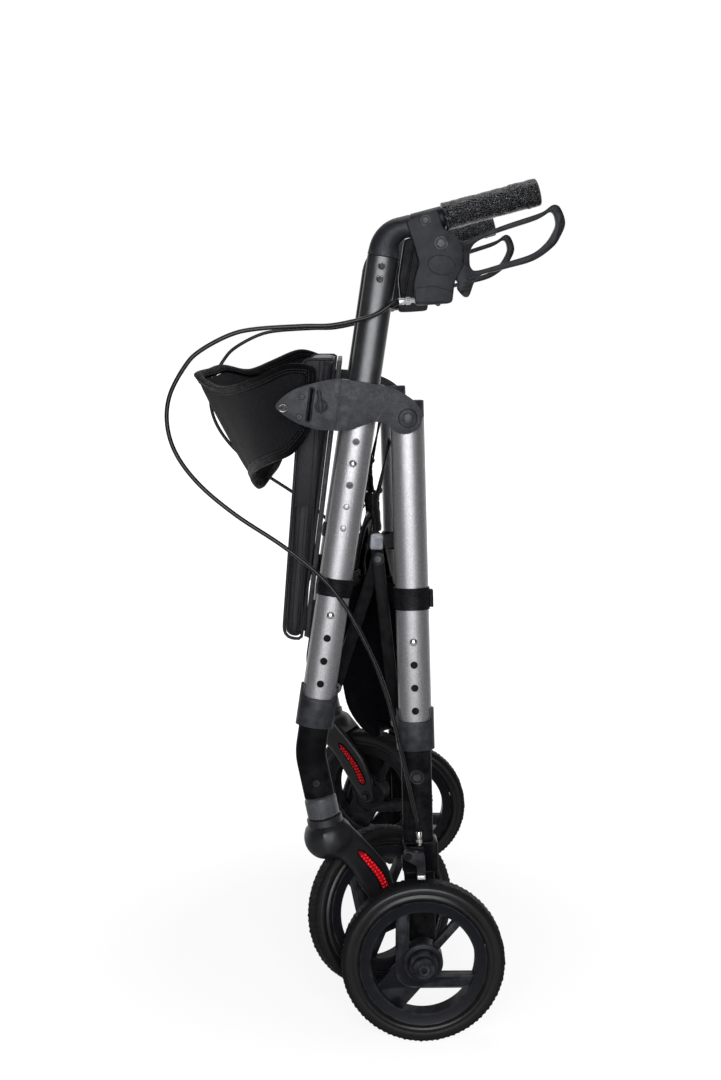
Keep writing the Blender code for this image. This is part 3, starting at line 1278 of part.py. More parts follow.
STRAP_ROUTE = [
    (-0.0457, 0.0615, -0.2050), (-0.0477, 0.0455, -0.1850), (-0.0472, 0.0383, -0.1680),
    (-0.0377, 0.0383, -0.1200), (-0.0287, 0.0375, -0.0800), (-0.0197, 0.0275, -0.0250)]


def make_bag():
    """Folded bag with a band on each frame tube and a strap up to each bracket."""
    stations = [BAG_HALF * (k / 9 * 2 - 1) for k in range(10)]
    bag = loft([bag_ring(y) for y in stations])
    strap = wire(smooth_route([PIVOT + Vector(point) for point in STRAP_ROUTE], 9),
                 STRAP_RADIUS, 1)
    left = merge(bag_band(FRONT, *FRONT_BAND, FRONT_BAND_TIE),
                 bag_band(REAR, *REAR_BAND, REAR_BAND_TIE), strap)
    bag = unite(bag, mirror_pair(left))
    add_piece("storage_bag", bag, WORLD, "front_frame", fabric())


CABLE_ROUTE = [
    (-0.0268, -0.0165, 0.1220), (-0.0439, -0.0187, 0.1135), (-0.0843, -0.0235, 0.1045),
    (-0.1189, -0.0265, 0.1034), (-0.1700, -0.0295, 0.1001), (-0.1990, -0.0305, 0.0935),
    (-0.2309, -0.0305, 0.0768), (-0.2483, -0.0305, 0.0602), (-0.2668, -0.0285, 0.0266),
    (-0.2704, -0.0265, -0.0071), (-0.2603, -0.0245, -0.0410), (-0.2349, -0.0225, -0.0752),
    (-0.1946, -0.0220, -0.1094), (-0.1432, -0.0215, -0.1438), (-0.1042, -0.0215, -0.1748),
    (-0.0785, -0.0215, -0.2036), (-0.0564, -0.0215, -0.2395), (-0.0324, -0.0215, -0.2918),
    (-0.0174, -0.0215, -0.3381), (-0.0052, -0.0215, -0.3897), (0.0036, -0.0213, -0.4292),
    (0.0103, -0.0207, -0.4625)]


def make_cables():
    """Brake cables, whole from the adjuster under the grip to the adjuster at the wheel."""
    start = FRONT @ Vector((ADJUSTER_END[0], ADJUSTER_END_Y, ADJUSTER_END[1]))
    before = FRONT @ Vector((ADJUSTER_START[0], ADJUSTER_START_Y, ADJUSTER_START[1]))
    heading = (start - before).normalized()
    foot = REAR @ Vector((0.0, ADJUSTER_Y, ADJUSTER_HIGH + GAP))
    above = REAR @ Vector((0.0, ADJUSTER_Y, ADJUSTER_HIGH + CABLE_LEAD))
    route = [start + heading * CABLE_LEAD]
    stretch = -ADJUSTER_HIGH / CABLE_DROP
    for x, y, z in CABLE_ROUTE:
        route.append(PIVOT + Vector((x, y, z * stretch if z < 0.0 else z)))
    route += [above]
    points = [start + heading * GAP, *smooth_route(route, CABLE_POINTS), foot]
    cable = wire(points, CABLE_RADIUS, 1)
    add_pair("brake_cable", cable, WORLD, "front_frame", cable_cover())


def main():
    make_bodies()
    make_front_tubes()
    make_rear_tubes()
    make_tube_caps()
    make_collars()
    make_brackets()
    make_pivot_bolts()
    make_handle_tubes()
    make_elbows()
    make_grips()
    make_brake_bodies()
    make_brake_levers()
    make_buttons()
    make_front_legs()
    make_forks()
    make_wheels()
    make_rear_legs()
    make_brake_housings()
    make_brake_shoes()
    make_cross_tubes()
    make_brace()
    make_seat_board()
    make_seat_cushion()
    make_backrest()
    make_bag()
    make_cables()


clear_scene()
PARTS = new_collection("rollator")
BENCH = new_collection("cutters")
BODIES = {}
main()
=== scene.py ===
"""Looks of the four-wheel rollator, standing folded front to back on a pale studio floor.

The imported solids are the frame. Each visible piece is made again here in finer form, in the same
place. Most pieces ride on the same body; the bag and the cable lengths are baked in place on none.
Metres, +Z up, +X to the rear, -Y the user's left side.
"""

import math

import bmesh
import bpy
from bpy.props import FloatProperty, FloatVectorProperty, IntProperty, PointerProperty
from mathutils import Matrix, Vector, noise


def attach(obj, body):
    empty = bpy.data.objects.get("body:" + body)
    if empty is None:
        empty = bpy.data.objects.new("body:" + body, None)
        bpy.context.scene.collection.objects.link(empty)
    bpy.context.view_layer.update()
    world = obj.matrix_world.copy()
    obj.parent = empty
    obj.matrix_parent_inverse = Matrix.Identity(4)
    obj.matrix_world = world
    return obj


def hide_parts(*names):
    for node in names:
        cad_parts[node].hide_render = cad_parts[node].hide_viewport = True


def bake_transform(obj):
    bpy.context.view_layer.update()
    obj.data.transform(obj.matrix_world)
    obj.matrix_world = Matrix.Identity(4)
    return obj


bl_info = {
    "name": "Rollator",
    "version": (1, 0, 0),
    "blender": (4, 5, 0),
    "location": "3D View > Sidebar > Rollator",
    "description": "Builds the visible pieces and the studio of a folded four-wheel rollator",
    "category": "Object",
}

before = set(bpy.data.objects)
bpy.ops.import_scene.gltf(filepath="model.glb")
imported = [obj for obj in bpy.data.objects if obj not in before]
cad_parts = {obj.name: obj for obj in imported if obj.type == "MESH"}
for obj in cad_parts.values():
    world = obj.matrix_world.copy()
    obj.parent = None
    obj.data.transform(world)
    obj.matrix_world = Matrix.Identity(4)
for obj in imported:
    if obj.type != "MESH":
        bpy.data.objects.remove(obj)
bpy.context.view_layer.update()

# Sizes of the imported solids, in metres
GAP = 0.0003
REAR_AXLE_X = 0.069
HALF_TRACK = 0.2515
REAR_REACH = 0.6253
REAR_LEAN = math.radians(1.68)
FRONT_LEAN = math.radians(8.36)
PIVOT_OFFSET = 0.0545
TUBE = (0.0385, 0.025)
TUBE_WALL = 0.00125
INNER = (0.0354, 0.0219)
INNER_WALL = 0.002
FRONT_TUBE = (-0.345, 0.036)
REAR_TUBE = (-0.369, 0.0175)
BUTTON_RADIUS = 0.004
HANDLE_HOLES = (-0.0275, -0.0525, -0.0775)
DIMPLES = (-0.1025, -0.1275)
FRONT_HOLES = (-0.229, -0.256, -0.283, -0.31)
REAR_HOLES = (-0.258, -0.285, -0.312, -0.339)
HANDLE_TUBE = (-0.1, 0.183)
ELBOW_CORNER = (0.0, 0.211)
ELBOW_ARC = 0.0277
ELBOW_DEPTH = 0.024
ELBOW_RADIUS = 0.0125
BAR_RADIUS = 0.01
GRIP_START = (0.0608, 0.2369)
GRIP_LENGTH = 0.1107
GRIP_RADIUS = 0.01575
GRIP_ANGLE = math.atan2(0.0435, 0.1018)
BODY_HALF = 0.014
COVER_HALF = 0.009
CLAMP_SCREW = (0.0406, 0.2289)
LEVER_PIVOT = (0.0617, 0.2069)
LEVER_HALF = 0.007
ADJUSTER = ((0.0428, -0.0092, 0.1406), (0.0242, -0.0138, 0.1356))
PLATE_OUTER = -0.0173
PLATE_SHEET = 0.0045
LOW_PLATE = (-0.011, -0.002)
BLOCK_INNER = 0.018
BLOCK_REAR = 0.023
COLLAR = (0.044, 0.03)
COLLAR_LENGTH = 0.048
COLLAR_ABOVE = 0.031
COLLAR_DIP = 0.014
FRONT_BAND = (-0.2073, -0.1865)
REAR_BAND = (-0.2213, -0.1957)
LEG_TOP = -0.209
LEG_BEND = -0.395
LEG_ARC = 0.06
STEM_LEAN = math.radians(12.0)
STEM_RUN = 0.0519
BUSH_RADIUS = 0.01875
BUSH_LENGTH = 0.0245
CASTER_SWIVEL = math.radians(30.0)
CASTER_TRAIL = 0.048
CASTER_DROP = 0.13
FORK_HALF = 0.024
FORK_INSIDE = 0.0175
FORK_CLEARANCE = 0.098
WHEEL_RADIUS = 0.095
TREAD_BAR = (0.002, 0.01, 0.0034)
REAR_WHEEL_Y = -0.0385
HUB_NOSE = 0.028
HUB_BACK = 0.015
REAR_LEG = (-0.6418, -0.238)
REAR_CLIP = -0.417
HOUSING = (-0.494, -0.53, -0.54)
HOUSING_Y = (-0.0152, 0.0155)
SHOE_PIVOT = (-0.014, -0.5)
ADJUSTER_HIGH = -0.479
ADJUSTER_Y = -0.0205
LINK_WIDTH = 0.014
LINK_SHEET = 0.005
LINK_INNER_Y = 0.2165
ROD_RADIUS = 0.007
CROSS_RADIUS = 0.0095
SEAT_DROP = 0.235
SEAT_HALF = 0.21
SEAT_BOARD = 0.006
SEAT_ENDS = (-0.032, 0.303)
SEAT_EAR_Y = 0.19
SEAT_PANEL_END = 0.128
BAG_HALF = 0.2
CABLE_RADIUS = 0.0025
PIN_RADIUS = 0.004
PIN_BORE = 0.0043
EYE_BORE = 0.0033
LUG_SHEET = 0.004
SHOE_HALF = 0.006
CLOTH_SHEET = 0.0008

# Shading angles in degrees, fineness and the floor
SHARP_ANGLE = 28.0
SOFT_ANGLE = 60.0
BAG_RING_HALF = 30
CUSHION_GRAIN = 0.006
CUSHION_FRAMES = 20
CABLE_POINTS = 241
FLOOR_REACH = 30.0
MIRROR = Matrix.Diagonal((1.0, -1.0, 1.0, 1.0))


# Outlines in X and Z, profiles of radius and height, and routes in X, Y and Z

def tenths(*points):
    """Points in metres, from tenths of a millimetre."""
    return [tuple(value / 10000 for value in point) for point in points]


def both_sides(half):
    """Profile of radius and height, with the same again on the other side in reverse."""
    return half + [(radius, -height) for radius, height in reversed(half)]


BRACKET_OUTLINE = tenths(
    (-957, -20), (-919, 77), (-783, 206), (-570, 312), (-277, 400), (162, 402), (335, 382),
    (491, 331), (613, 257), (690, 149), (694, 24), (630, -61), (530, -107), (418, -93), (337, -39),
    (269, -15), (165, -19), (66, -68), (-77, -143), (-243, -182), (-469, -200), (-685, -163),
    (-849, -95))
BRACKET_STEP = -0.0255
PLATE_SCREWS = ((-0.0874, -0.0015), (-0.0684, 0.0139), (-0.068, -0.0089))
STRAP_SLOT = ((-0.0579, 0.024), (-0.0569, -0.0107))
BOSS = (-0.0451, 0.007)
BOSS_BAR = ((-0.0497, 0.0227), (-0.044, 0.001))
BODY_OUTLINE = tenths(
    (189, 2251), (524, 2444), (622, 2242), (793, 2161), (875, 2067), (907, 1858), (862, 1746),
    (835, 1664), (845, 1430), (618, 1379), (441, 1348), (386, 1486), (378, 1653), (405, 1814),
    (304, 2034))
COVER_OUTLINE = tenths((205, 2050), (400, 2150), (450, 1400), (267, 1370), (205, 1600))
SLOT_OUTLINE = tenths((520, 1200), (1250, 1200), (1250, 2400), (950, 2320), (520, 2170))
LEVER_OUTLINE = tenths(
    (878, 2128), (1253, 2355), (1622, 2541), (1725, 2605), (1805, 2680), (1888, 2658), (1970, 2502),
    (1939, 2340), (1870, 2206), (1680, 2031), (1382, 1897), (1094, 1764), (1016, 1526), (893, 1587),
    (881, 1665))
LEVER_ROOM = tenths(
    (965, 2055), (1040, 2165), (1270, 2300), (1650, 2490), (1800, 2600), (1870, 2490), (1850, 2370),
    (1785, 2240), (1650, 2105), (1365, 1965), (1080, 1835), (1000, 1850), (970, 1930))
FORK_LOWER = tenths((-200, -368), (-20, -500), (100, -695), (190, -940))
FORK_UPPER = tenths((610, -1050), (565, -762), (452, -534), (272, -248), (150, -110))
FORK_CROWN = tenths((208, -80), (265, -145), (290, -250), (270, -360), (180, -470), (0, -520))
REFLECTOR = tenths((205, -505), (290, -515), (460, -815), (525, -1085), (430, -1095), (380, -865))
TYRE_PROFILE = both_sides(tenths(
    (740, -118), (748, -127), (758, -138), (770, -147), (782, -151), (795, -149), (808, -142),
    (820, -137), (842, -142), (864, -143), (892, -138), (914, -124), (931, -104), (941, -78),
    (944, -40)))
RIM_PROFILE = both_sides(tenths(
    (603, -100), (612, -108), (630, -112), (720, -119), (733, -126), (737, -122)))
REAR_HUB = tenths(
    (0, -280), (118, -280), (125, -272), (125, -200), (155, -198), (165, -188), (178, -120),
    (222, -108), (230, -95), (230, 100), (160, 150), (0, 150))
FRONT_HUB = both_sides(tenths(
    (0, -172), (120, -172), (125, -166), (160, -120), (222, -108), (230, -98)))
BACKREST = [
    (-1.0, -0.121, 0.779, -0.127, 0.705), (-0.943, -0.1522, 0.781, -0.1493, 0.677),
    (-0.823, -0.1849, 0.767, -0.1715, 0.665), (-0.642, -0.2137, 0.7563, -0.1892, 0.654),
    (-0.401, -0.2401, 0.7508, -0.2, 0.644), (-0.201, -0.2612, 0.7542, -0.2048, 0.637),
    (0.0, -0.2818, 0.7657, -0.206, 0.623), (0.201, -0.2692, 0.77, -0.1994, 0.6087),
    (0.401, -0.2558, 0.7742, -0.191, 0.6177), (0.642, -0.2239, 0.7662, -0.1824, 0.6275),
    (0.823, -0.1893, 0.7789, -0.1715, 0.655), (0.943, -0.1527, 0.7935, -0.149, 0.672),
    (1.0, -0.121, 0.785, -0.127, 0.705)]
BACKREST_HALF = 0.2492
BAG_FRONT = tenths(
    (-110, 5280), (-190, 5000), (-240, 4400), (-195, 3912), (-115, 3607), (10, 3430), (130, 3335),
    (190, 3360), (194, 3520))
BAG_BACK = tenths(
    (345, 5280), (395, 5000), (420, 4400), (430, 3900), (435, 3560), (390, 3445), (300, 3465),
    (194, 3520))
STRAP_ROUTE = tenths(
    (-640, -1900, 5150), (-660, -2060, 5350), (-655, -2132, 5520), (-560, -2132, 6000),
    (-470, -2140, 6400), (-380, -2240, 6950))
FERRULE = tenths((0, 0), (31, 0), (34, 6), (34, 85), (29, 100), (26, 112), (0, 112))
CABLE_ROUTE = tenths(
    (-451, -2680, 8420), (-622, -2702, 8335), (-1026, -2750, 8245), (-1372, -2780, 8234),
    (-1883, -2810, 8201), (-2173, -2820, 8135), (-2492, -2820, 7968), (-2666, -2820, 7802),
    (-2851, -2800, 7466), (-2887, -2780, 7129), (-2786, -2760, 6790), (-2532, -2740, 6448),
    (-2129, -2735, 6106), (-1615, -2730, 5762), (-1225, -2730, 5452), (-968, -2730, 5164),
    (-747, -2730, 4805), (-507, -2730, 4282), (-357, -2730, 3819), (-235, -2730, 3303),
    (-147, -2728, 2908), (-80, -2722, 2575))


def leaning(origin, lean):
    return Matrix.Translation(origin) @ Matrix.Rotation(lean, 4, "Y")


PIVOT = Vector((REAR_AXLE_X - REAR_REACH * math.sin(REAR_LEAN), -HALF_TRACK,
                WHEEL_RADIUS + REAR_REACH * math.cos(REAR_LEAN)))
FRONT = leaning(PIVOT - Vector((PIVOT_OFFSET, 0.0, 0.0)), FRONT_LEAN)
REAR = leaning(PIVOT, -REAR_LEAN)
PIVOT_ON_PLATE = (PIVOT_OFFSET * math.cos(FRONT_LEAN), PIVOT_OFFSET * math.sin(FRONT_LEAN))
STEM_DOWN = Vector((math.sin(STEM_LEAN), 0.0, -math.cos(STEM_LEAN)))
STEM = leaning(FRONT @ Vector((0.0, 0.0, LEG_BEND)) + STEM_DOWN * (STEM_RUN + BUSH_LENGTH),
               -STEM_LEAN)
CASTER = STEM @ Matrix.Rotation(CASTER_SWIVEL, 4, "Z")
FRONT_WHEEL = CASTER @ Matrix.Translation((CASTER_TRAIL, 0.0, -CASTER_DROP))
REAR_WHEEL = Matrix.Translation((REAR_AXLE_X, -HALF_TRACK + REAR_WHEEL_Y, WHEEL_RADIUS))
WORLD = Matrix.Identity(4)
SEAT_Z = PIVOT.z - SEAT_DROP
SEAT_X = FRONT.translation.x + (SEAT_Z - FRONT.translation.z) * math.tan(FRONT_LEAN)
FRONT_CROSS = (FRONT @ Vector((0.0, 0.0, FRONT_TUBE[0] + 0.0215))).xz
REAR_CROSS = (REAR @ Vector((0.0, 0.0, REAR_TUBE[0] + 0.0088))).xz
BRACE_FRONT = (FRONT_CROSS[0] + 0.0194, FRONT_CROSS[1])
BRACE_REAR = (REAR_CROSS[0] - 0.0216, REAR_CROSS[1])
KNUCKLE = (PIVOT.x - 0.0327, PIVOT.z - 0.1666)
BRACE_TAB = (PIVOT.x - 0.0357, PIVOT.z - 0.141)


class RollatorSizes(bpy.types.PropertyGroup):
    stitch_length: FloatProperty(name="Stitch length", description="Length of one stitch",
                                 default=0.0026, unit="LENGTH")
    stitch_pitch: FloatProperty(name="Stitch pitch", description="Distance between stitches",
                                default=0.0038, unit="LENGTH")
    stitch_radius: FloatProperty(name="Thread radius", description="Radius of the sewing thread",
                                 default=0.00034, unit="LENGTH")
    piping_radius: FloatProperty(name="Piping radius", description="Radius of the seat's piping",
                                 default=0.0019, unit="LENGTH")
    edge_round: FloatProperty(name="Edge rounding", description="Rounding of moulded edges",
                              default=0.0012, unit="LENGTH")
    cushion_rise: FloatProperty(name="Cushion rise", description="Most that the padding swells",
                                default=0.006, unit="LENGTH")
    grip_wrinkle: FloatProperty(name="Grip wrinkle", description="Height of the grip's wrinkles",
                                default=0.0007, unit="LENGTH")
    bag_fold: FloatProperty(name="Bag fold", description="Depth of the bag's loose folds",
                            default=0.007, unit="LENGTH")
    tread_bars: IntProperty(name="Tread bars", description="Tread bars round one side of a tyre",
                            default=92, min=12, max=200)
    bead_pitch: FloatProperty(name="Bead pitch", description="Distance between reflector beads",
                              default=0.0041, unit="LENGTH")


class RollatorColours(bpy.types.PropertyGroup):
    pewter: FloatVectorProperty(name="Pewter", description="Metallic coating of the outer tubes",
                                subtype="COLOR", default=(0.27, 0.265, 0.268))
    black_metal: FloatVectorProperty(name="Black metal", description="Coating of the inner tubes",
                                     subtype="COLOR", default=(0.0035, 0.0035, 0.004))
    charcoal: FloatVectorProperty(name="Charcoal", description="Moulded plastic pieces",
                                  subtype="COLOR", default=(0.01, 0.0102, 0.0128))
    steel: FloatVectorProperty(name="Steel", description="Bright screws and buttons",
                               subtype="COLOR", default=(0.62, 0.6, 0.56))
    rubber: FloatVectorProperty(name="Rubber", description="Tread of the tyres",
                                subtype="COLOR", default=(0.006, 0.006, 0.0065))
    sidewall: FloatVectorProperty(name="Sidewall", description="Side of the tyres",
                                  subtype="COLOR", default=(0.0048, 0.0046, 0.0046))
    leatherette: FloatVectorProperty(name="Leatherette", description="Seat cover",
                                     subtype="COLOR", default=(0.012, 0.012, 0.0135))
    nylon: FloatVectorProperty(name="Nylon", description="Cloth of the bag",
                               subtype="COLOR", default=(0.0024, 0.0024, 0.003))
    neoprene: FloatVectorProperty(name="Neoprene", description="Face of the backrest",
                                  subtype="COLOR", default=(0.0062, 0.0062, 0.0078))
    reflector: FloatVectorProperty(name="Reflector", description="Red reflector of the casters",
                                   subtype="COLOR", default=(0.62, 0.006, 0.012))


# Meshes

def to_mesh(shape):
    mesh = bpy.data.meshes.new("shape")
    shape.to_mesh(mesh)
    shape.free()
    return mesh


def bench(mesh):
    item = bpy.data.objects.new("bench", mesh)
    bpy.context.scene.collection.objects.link(item)
    return item


def evaluated(item):
    """Mesh of an object as its modifiers leave it. The object is removed."""
    bpy.context.view_layer.update()
    graph = bpy.context.evaluated_depsgraph_get()
    mesh = bpy.data.meshes.new_from_object(item.evaluated_get(graph))
    bpy.data.objects.remove(item, do_unlink=True)
    return mesh


def moved(mesh, matrix):
    mesh.transform(matrix)
    return mesh


def merge(*meshes):
    joined = bmesh.new()
    for mesh in meshes:
        joined.from_mesh(mesh)
    return to_mesh(joined)


def modified(mesh, kind, **settings):
    """Mesh as one modifier with these settings leaves it."""
    item = bench(mesh)
    modifier = item.modifiers.new(kind, kind)
    for key, value in settings.items():
        setattr(modifier, key, value)
    return evaluated(item)


def boolean(mesh, others, operation):
    for other in others:
        tool = bench(other)
        mesh = modified(mesh, "BOOLEAN", operation=operation, object=tool)
        bpy.data.objects.remove(tool, do_unlink=True)
    return mesh


def cut(mesh, *others):
    return boolean(mesh, others, "DIFFERENCE")


def unite(mesh, *others):
    return boolean(mesh, others, "UNION")


def round_edges(mesh, width, segments=2, angle=40.0):
    return modified(mesh, "BEVEL", width=width, segments=segments, limit_method="ANGLE",
                    angle_limit=math.radians(angle))


def skin(rings, closed=False):
    """Skin through rings of points. An open skin gets a face on each end."""
    shape = bmesh.new()
    rows = [[shape.verts.new(point) for point in ring] for ring in rings]
    pairs = list(zip(rows, rows[1:]))
    if closed:
        pairs.append((rows[-1], rows[0]))
    else:
        shape.faces.new(rows[0])
        shape.faces.new(rows[-1])
    count = len(rows[0])
    for low, high in pairs:
        for k in range(count):
            after = (k + 1) % count
            shape.faces.new((low[k], low[after], high[after], high[k]))
    bmesh.ops.recalc_face_normals(shape, faces=shape.faces)
    return to_mesh(shape)


def lathe(profile, sides=64, closed=False):
    """Profile of radius and height turned round Z. A radius of nought makes a pole."""
    shape = bmesh.new()
    rows = []
    for radius, height in profile:
        if radius < 1e-7:
            rows.append([shape.verts.new((0.0, 0.0, height))])
            continue
        turns = [math.tau * k / sides for k in range(sides)]
        rows.append([shape.verts.new((radius * math.cos(a), radius * math.sin(a), height))
                     for a in turns])
    pairs = list(zip(rows, rows[1:]))
    if closed:
        pairs.append((rows[-1], rows[0]))
    for low, high in pairs:
        for k in range(sides):
            after = (k + 1) % sides
            corners = [low[k % len(low)], low[after % len(low)], high[after % len(high)],
                       high[k % len(high)]]
            corners = list(dict.fromkeys(corners))
            if len(corners) > 2:
                shape.faces.new(corners)
    bmesh.ops.recalc_face_normals(shape, faces=shape.faces)
    return to_mesh(shape)


def along_y(mesh):
    """Turned shape laid with its height along +Y."""
    return moved(mesh, Matrix.Rotation(-math.pi / 2, 4, "X"))


def facing_out(mesh):
    """Turned shape laid with its height along -Y."""
    return moved(mesh, Matrix.Rotation(math.pi / 2, 4, "X"))


def at(mesh, point, y):
    """Mesh moved to a point given by X and Z, and to a place along Y."""
    return moved(mesh, Matrix.Translation((point[0], y, point[1])))


def slab(outline, low, high):
    """Outline of X and Z with its thickness along Y."""
    return skin([[(x, low, z) for x, z in outline], [(x, high, z) for x, z in outline]])


def rod(radius, start, end, sides=40):
    start, end = Vector(start), Vector(end)
    run = end - start
    shape = bmesh.new()
    bmesh.ops.create_cone(shape, cap_ends=True, segments=sides, radius1=radius, radius2=radius,
                          depth=run.length)
    turn = run.to_track_quat("Z", "Y").to_matrix().to_4x4()
    return moved(to_mesh(shape), Matrix.Translation((start + end) / 2) @ turn)


def y_rod(radius, point, low, high, sides=24):
    """Rod along Y through a point given by X and Z."""
    return rod(radius, (point[0], low, point[1]), (point[0], high, point[1]), sides)


def turned_along(profile, start, end, sides=40):
    """Turned profile laid from one point towards another, heights from the first."""
    run = Vector(end) - Vector(start)
    turn = run.to_track_quat("Z", "Y").to_matrix().to_4x4()
    return moved(lathe(profile, sides), Matrix.Translation(start) @ turn)


def oval_ring(size, z, sides=64, grow=0.0):
    """Level ring of an oval of this length and width, grown by so much all round."""
    turns = [math.tau * k / sides for k in range(sides)]
    return [((size[0] / 2 + grow) * math.cos(a), (size[1] / 2 + grow) * math.sin(a), z)
            for a in turns]


def oval_solid(size, low, high, round_off=0.0, grow=0.0):
    """Upright oval solid, with its two ends rounded off."""
    stations = [(low, grow - round_off), (low + round_off, grow), (high - round_off, grow),
                (high, grow - round_off)] if round_off else [(low, grow), (high, grow)]
    return skin([oval_ring(size, z, grow=g) for z, g in stations])


def oval_shell(size, wall, low, high):
    """Open oval tube with a small bevel outside at each end."""
    edge = 0.0003
    stations = [(low, -edge), (low + edge, 0.0), (high - edge, 0.0), (high, -edge), (high, -wall),
                (low, -wall)]
    return skin([oval_ring(size, z, grow=g) for z, g in stations], closed=True)


def spline(points, steps, closed=False):
    """Smooth curve through the points, with this many steps from one to the next."""
    points = [Vector(point) for point in points]
    if closed:
        line = [points[-1], *points, points[0], points[1]]
    else:
        line = [2 * points[0] - points[1], *points, 2 * points[-1] - points[-2]]
    found = []
    for a, b, c, d in zip(line, line[1:], line[2:], line[3:]):
        for k in range(steps):
            t = k / steps
            found.append(0.5 * (2 * b + (c - a) * t + (2 * a - 5 * b + 4 * c - d) * t * t
                                + (3 * b - a - 3 * c + d) * t * t * t))
    if not closed:
        found.append(points[-1])
    return found


def curve(points, steps, closed=False):
    """Smooth curve as plain points."""
    return [tuple(point) for point in spline(points, steps, closed)]


def even_line(points, count, closed=False):
    """The same line with so many points spread evenly along it."""
    if closed:
        points = points + points[:1]
    spans = count if closed else count - 1
    reach = [0.0]
    for a, b in zip(points, points[1:]):
        reach.append(reach[-1] + (b - a).length)
    found = []
    index = 0
    for k in range(count):
        target = min(reach[-1] * k / spans, reach[-1] - 1e-9)
        while reach[index + 1] < target:
            index += 1
        share = (target - reach[index]) / (reach[index + 1] - reach[index])
        found.append(points[index].lerp(points[index + 1], share))
    return found


def rounded(outline, radius, steps=5):
    """Polygon with its corners rounded off."""
    found = []
    count = len(outline)
    for k, here in enumerate(outline):
        here = Vector(here)
        ends = []
        for other in (outline[k - 1], outline[(k + 1) % count]):
            way = Vector(other) - here
            ends.append(here + way.normalized() * min(radius, way.length * 0.45))
        for j in range(steps + 1):
            t = j / steps
            point = (1 - t) ** 2 * ends[0] + 2 * t * (1 - t) * here + t * t * ends[1]
            found.append(tuple(point))
    return found


def box_outline(x, z):
    """Four corners between two ends along X and two along Z."""
    return [(x[0], z[0]), (x[1], z[0]), (x[1], z[1]), (x[0], z[1])]


def arc(centre, radius, start, end, steps):
    angles = [math.radians(start + (end - start) * k / steps) for k in range(steps + 1)]
    return [(centre[0] + radius * math.cos(a), centre[1] + radius * math.sin(a)) for a in angles]


def bar_outline(start, end, width, steps=10):
    heading = math.degrees(math.atan2(end[1] - start[1], end[0] - start[0]))
    return (arc(start, width / 2, heading + 90, heading + 270, steps)
            + arc(end, width / 2, heading - 90, heading + 90, steps))


def sweep(points, radius, sides=14, closed=False, flat=1.0):
    """Round or flattened cord along a path, its section carried on without twist."""
    points = [Vector(point) for point in points]
    count = len(points)
    side = None
    rings = []
    for k, point in enumerate(points):
        before = points[k - 1] if closed or k else points[0]
        after = points[(k + 1) % count] if closed or k < count - 1 else points[-1]
        run = (after - before).normalized()
        if side is None:
            side = run.orthogonal().normalized()
        side = (side - run * side.dot(run)).normalized()
        over = run.cross(side)
        size = radius(k / max(count - 1, 1)) if callable(radius) else radius
        rings.append([point + side * (size * math.cos(math.tau * j / sides))
                      + over * (size * flat * math.sin(math.tau * j / sides))
                      for j in range(sides)])
    return skin(rings, closed=closed)


def moulded(mesh, grain, rounds):
    """Overlapping solids melted into one, with soft hollows where they meet."""
    melted = modified(mesh, "REMESH", mode="VOXEL", voxel_size=grain)
    return modified(melted, "SMOOTH", factor=0.5, iterations=rounds)


def section(point, heading, width, depth, sides=48):
    """Oval ring across a path of the X Z plane, at a point and a heading in radians."""
    across = Vector((math.sin(heading), 0.0, -math.cos(heading)))
    centre = Vector((point[0], 0.0, point[1]))
    return [centre + across * (width / 2 * math.cos(math.tau * k / sides))
            + Vector((0.0, depth / 2 * math.sin(math.tau * k / sides), 0.0)) for k in range(sides)]


def bend(corner, heading, turn, radius, steps):
    """Points and headings round a bend in the X Z plane, from its corner."""
    tangent = radius * math.tan(abs(turn) / 2)
    start = (corner[0] - tangent * math.cos(heading), corner[1] - tangent * math.sin(heading))
    side = math.copysign(1.0, turn)
    centre = (start[0] - side * radius * math.sin(heading),
              start[1] + side * radius * math.cos(heading))
    angles = [heading + turn * k / steps for k in range(steps + 1)]
    return [((centre[0] + side * radius * math.sin(a), centre[1] - side * radius * math.cos(a)), a)
            for a in angles]


# Placing


def place(name, mesh, body, finish, nodes=(), sharp=SHARP_ANGLE):
    """Finished piece on its body, given by a body's name. Two bodies and two points given instead
    are not used: the piece is baked in place on no body.
    """
    mesh.name = name
    if not mesh.materials:
        mesh.materials.append(FINISHES[finish])
    mesh.shade_smooth()
    mesh.set_sharp_from_angle(angle=math.radians(sharp))
    piece = bpy.data.objects.new(name, mesh)
    bpy.context.scene.collection.objects.link(piece)
    if nodes:
        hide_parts(*nodes)
    if isinstance(body, str):
        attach(piece, body)
    else:
        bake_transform(piece)
    return piece


def mirrored(mesh):
    copy = moved(mesh.copy(), MIRROR)
    copy.flip_normals()
    return copy


def place_pair(name, mesh, local, body, finish, node=None, sharp=SHARP_ANGLE):
    """Left piece and its mirror image. A body's name that ends in _ is itself a pair."""
    left = moved(mesh, local)
    for side, shape in (("l", left), ("r", mirrored(left))):
        owner = body + side if body.endswith("_") else body
        nodes = (f"{node}_{side}",) if node else ()
        place(f"{name}_{side}", shape, owner, finish, nodes, sharp)


# Nodes

def feed(tree, value, socket):
    """Links another socket, or sets a value."""
    if isinstance(value, bpy.types.NodeSocket):
        tree.links.new(value, socket)
    else:
        socket.default_value = value


def add_node(tree, kind, settings=None, **inputs):
    """New node with its settings and its inputs, by name with _ for a space."""
    node = tree.nodes.new(kind)
    for key, value in (settings or {}).items():
        setattr(node, key, value)
    for key, value in inputs.items():
        feed(tree, value, node.inputs[key.replace("_", " ")])
    return node


def reckoned(tree, operation, first, second):
    """Result of a sum on two values or sockets."""
    node = add_node(tree, "ShaderNodeMath", {"operation": operation})
    for socket, value in zip(node.inputs, (first, second)):
        feed(tree, value, socket)
    return node.outputs[0]


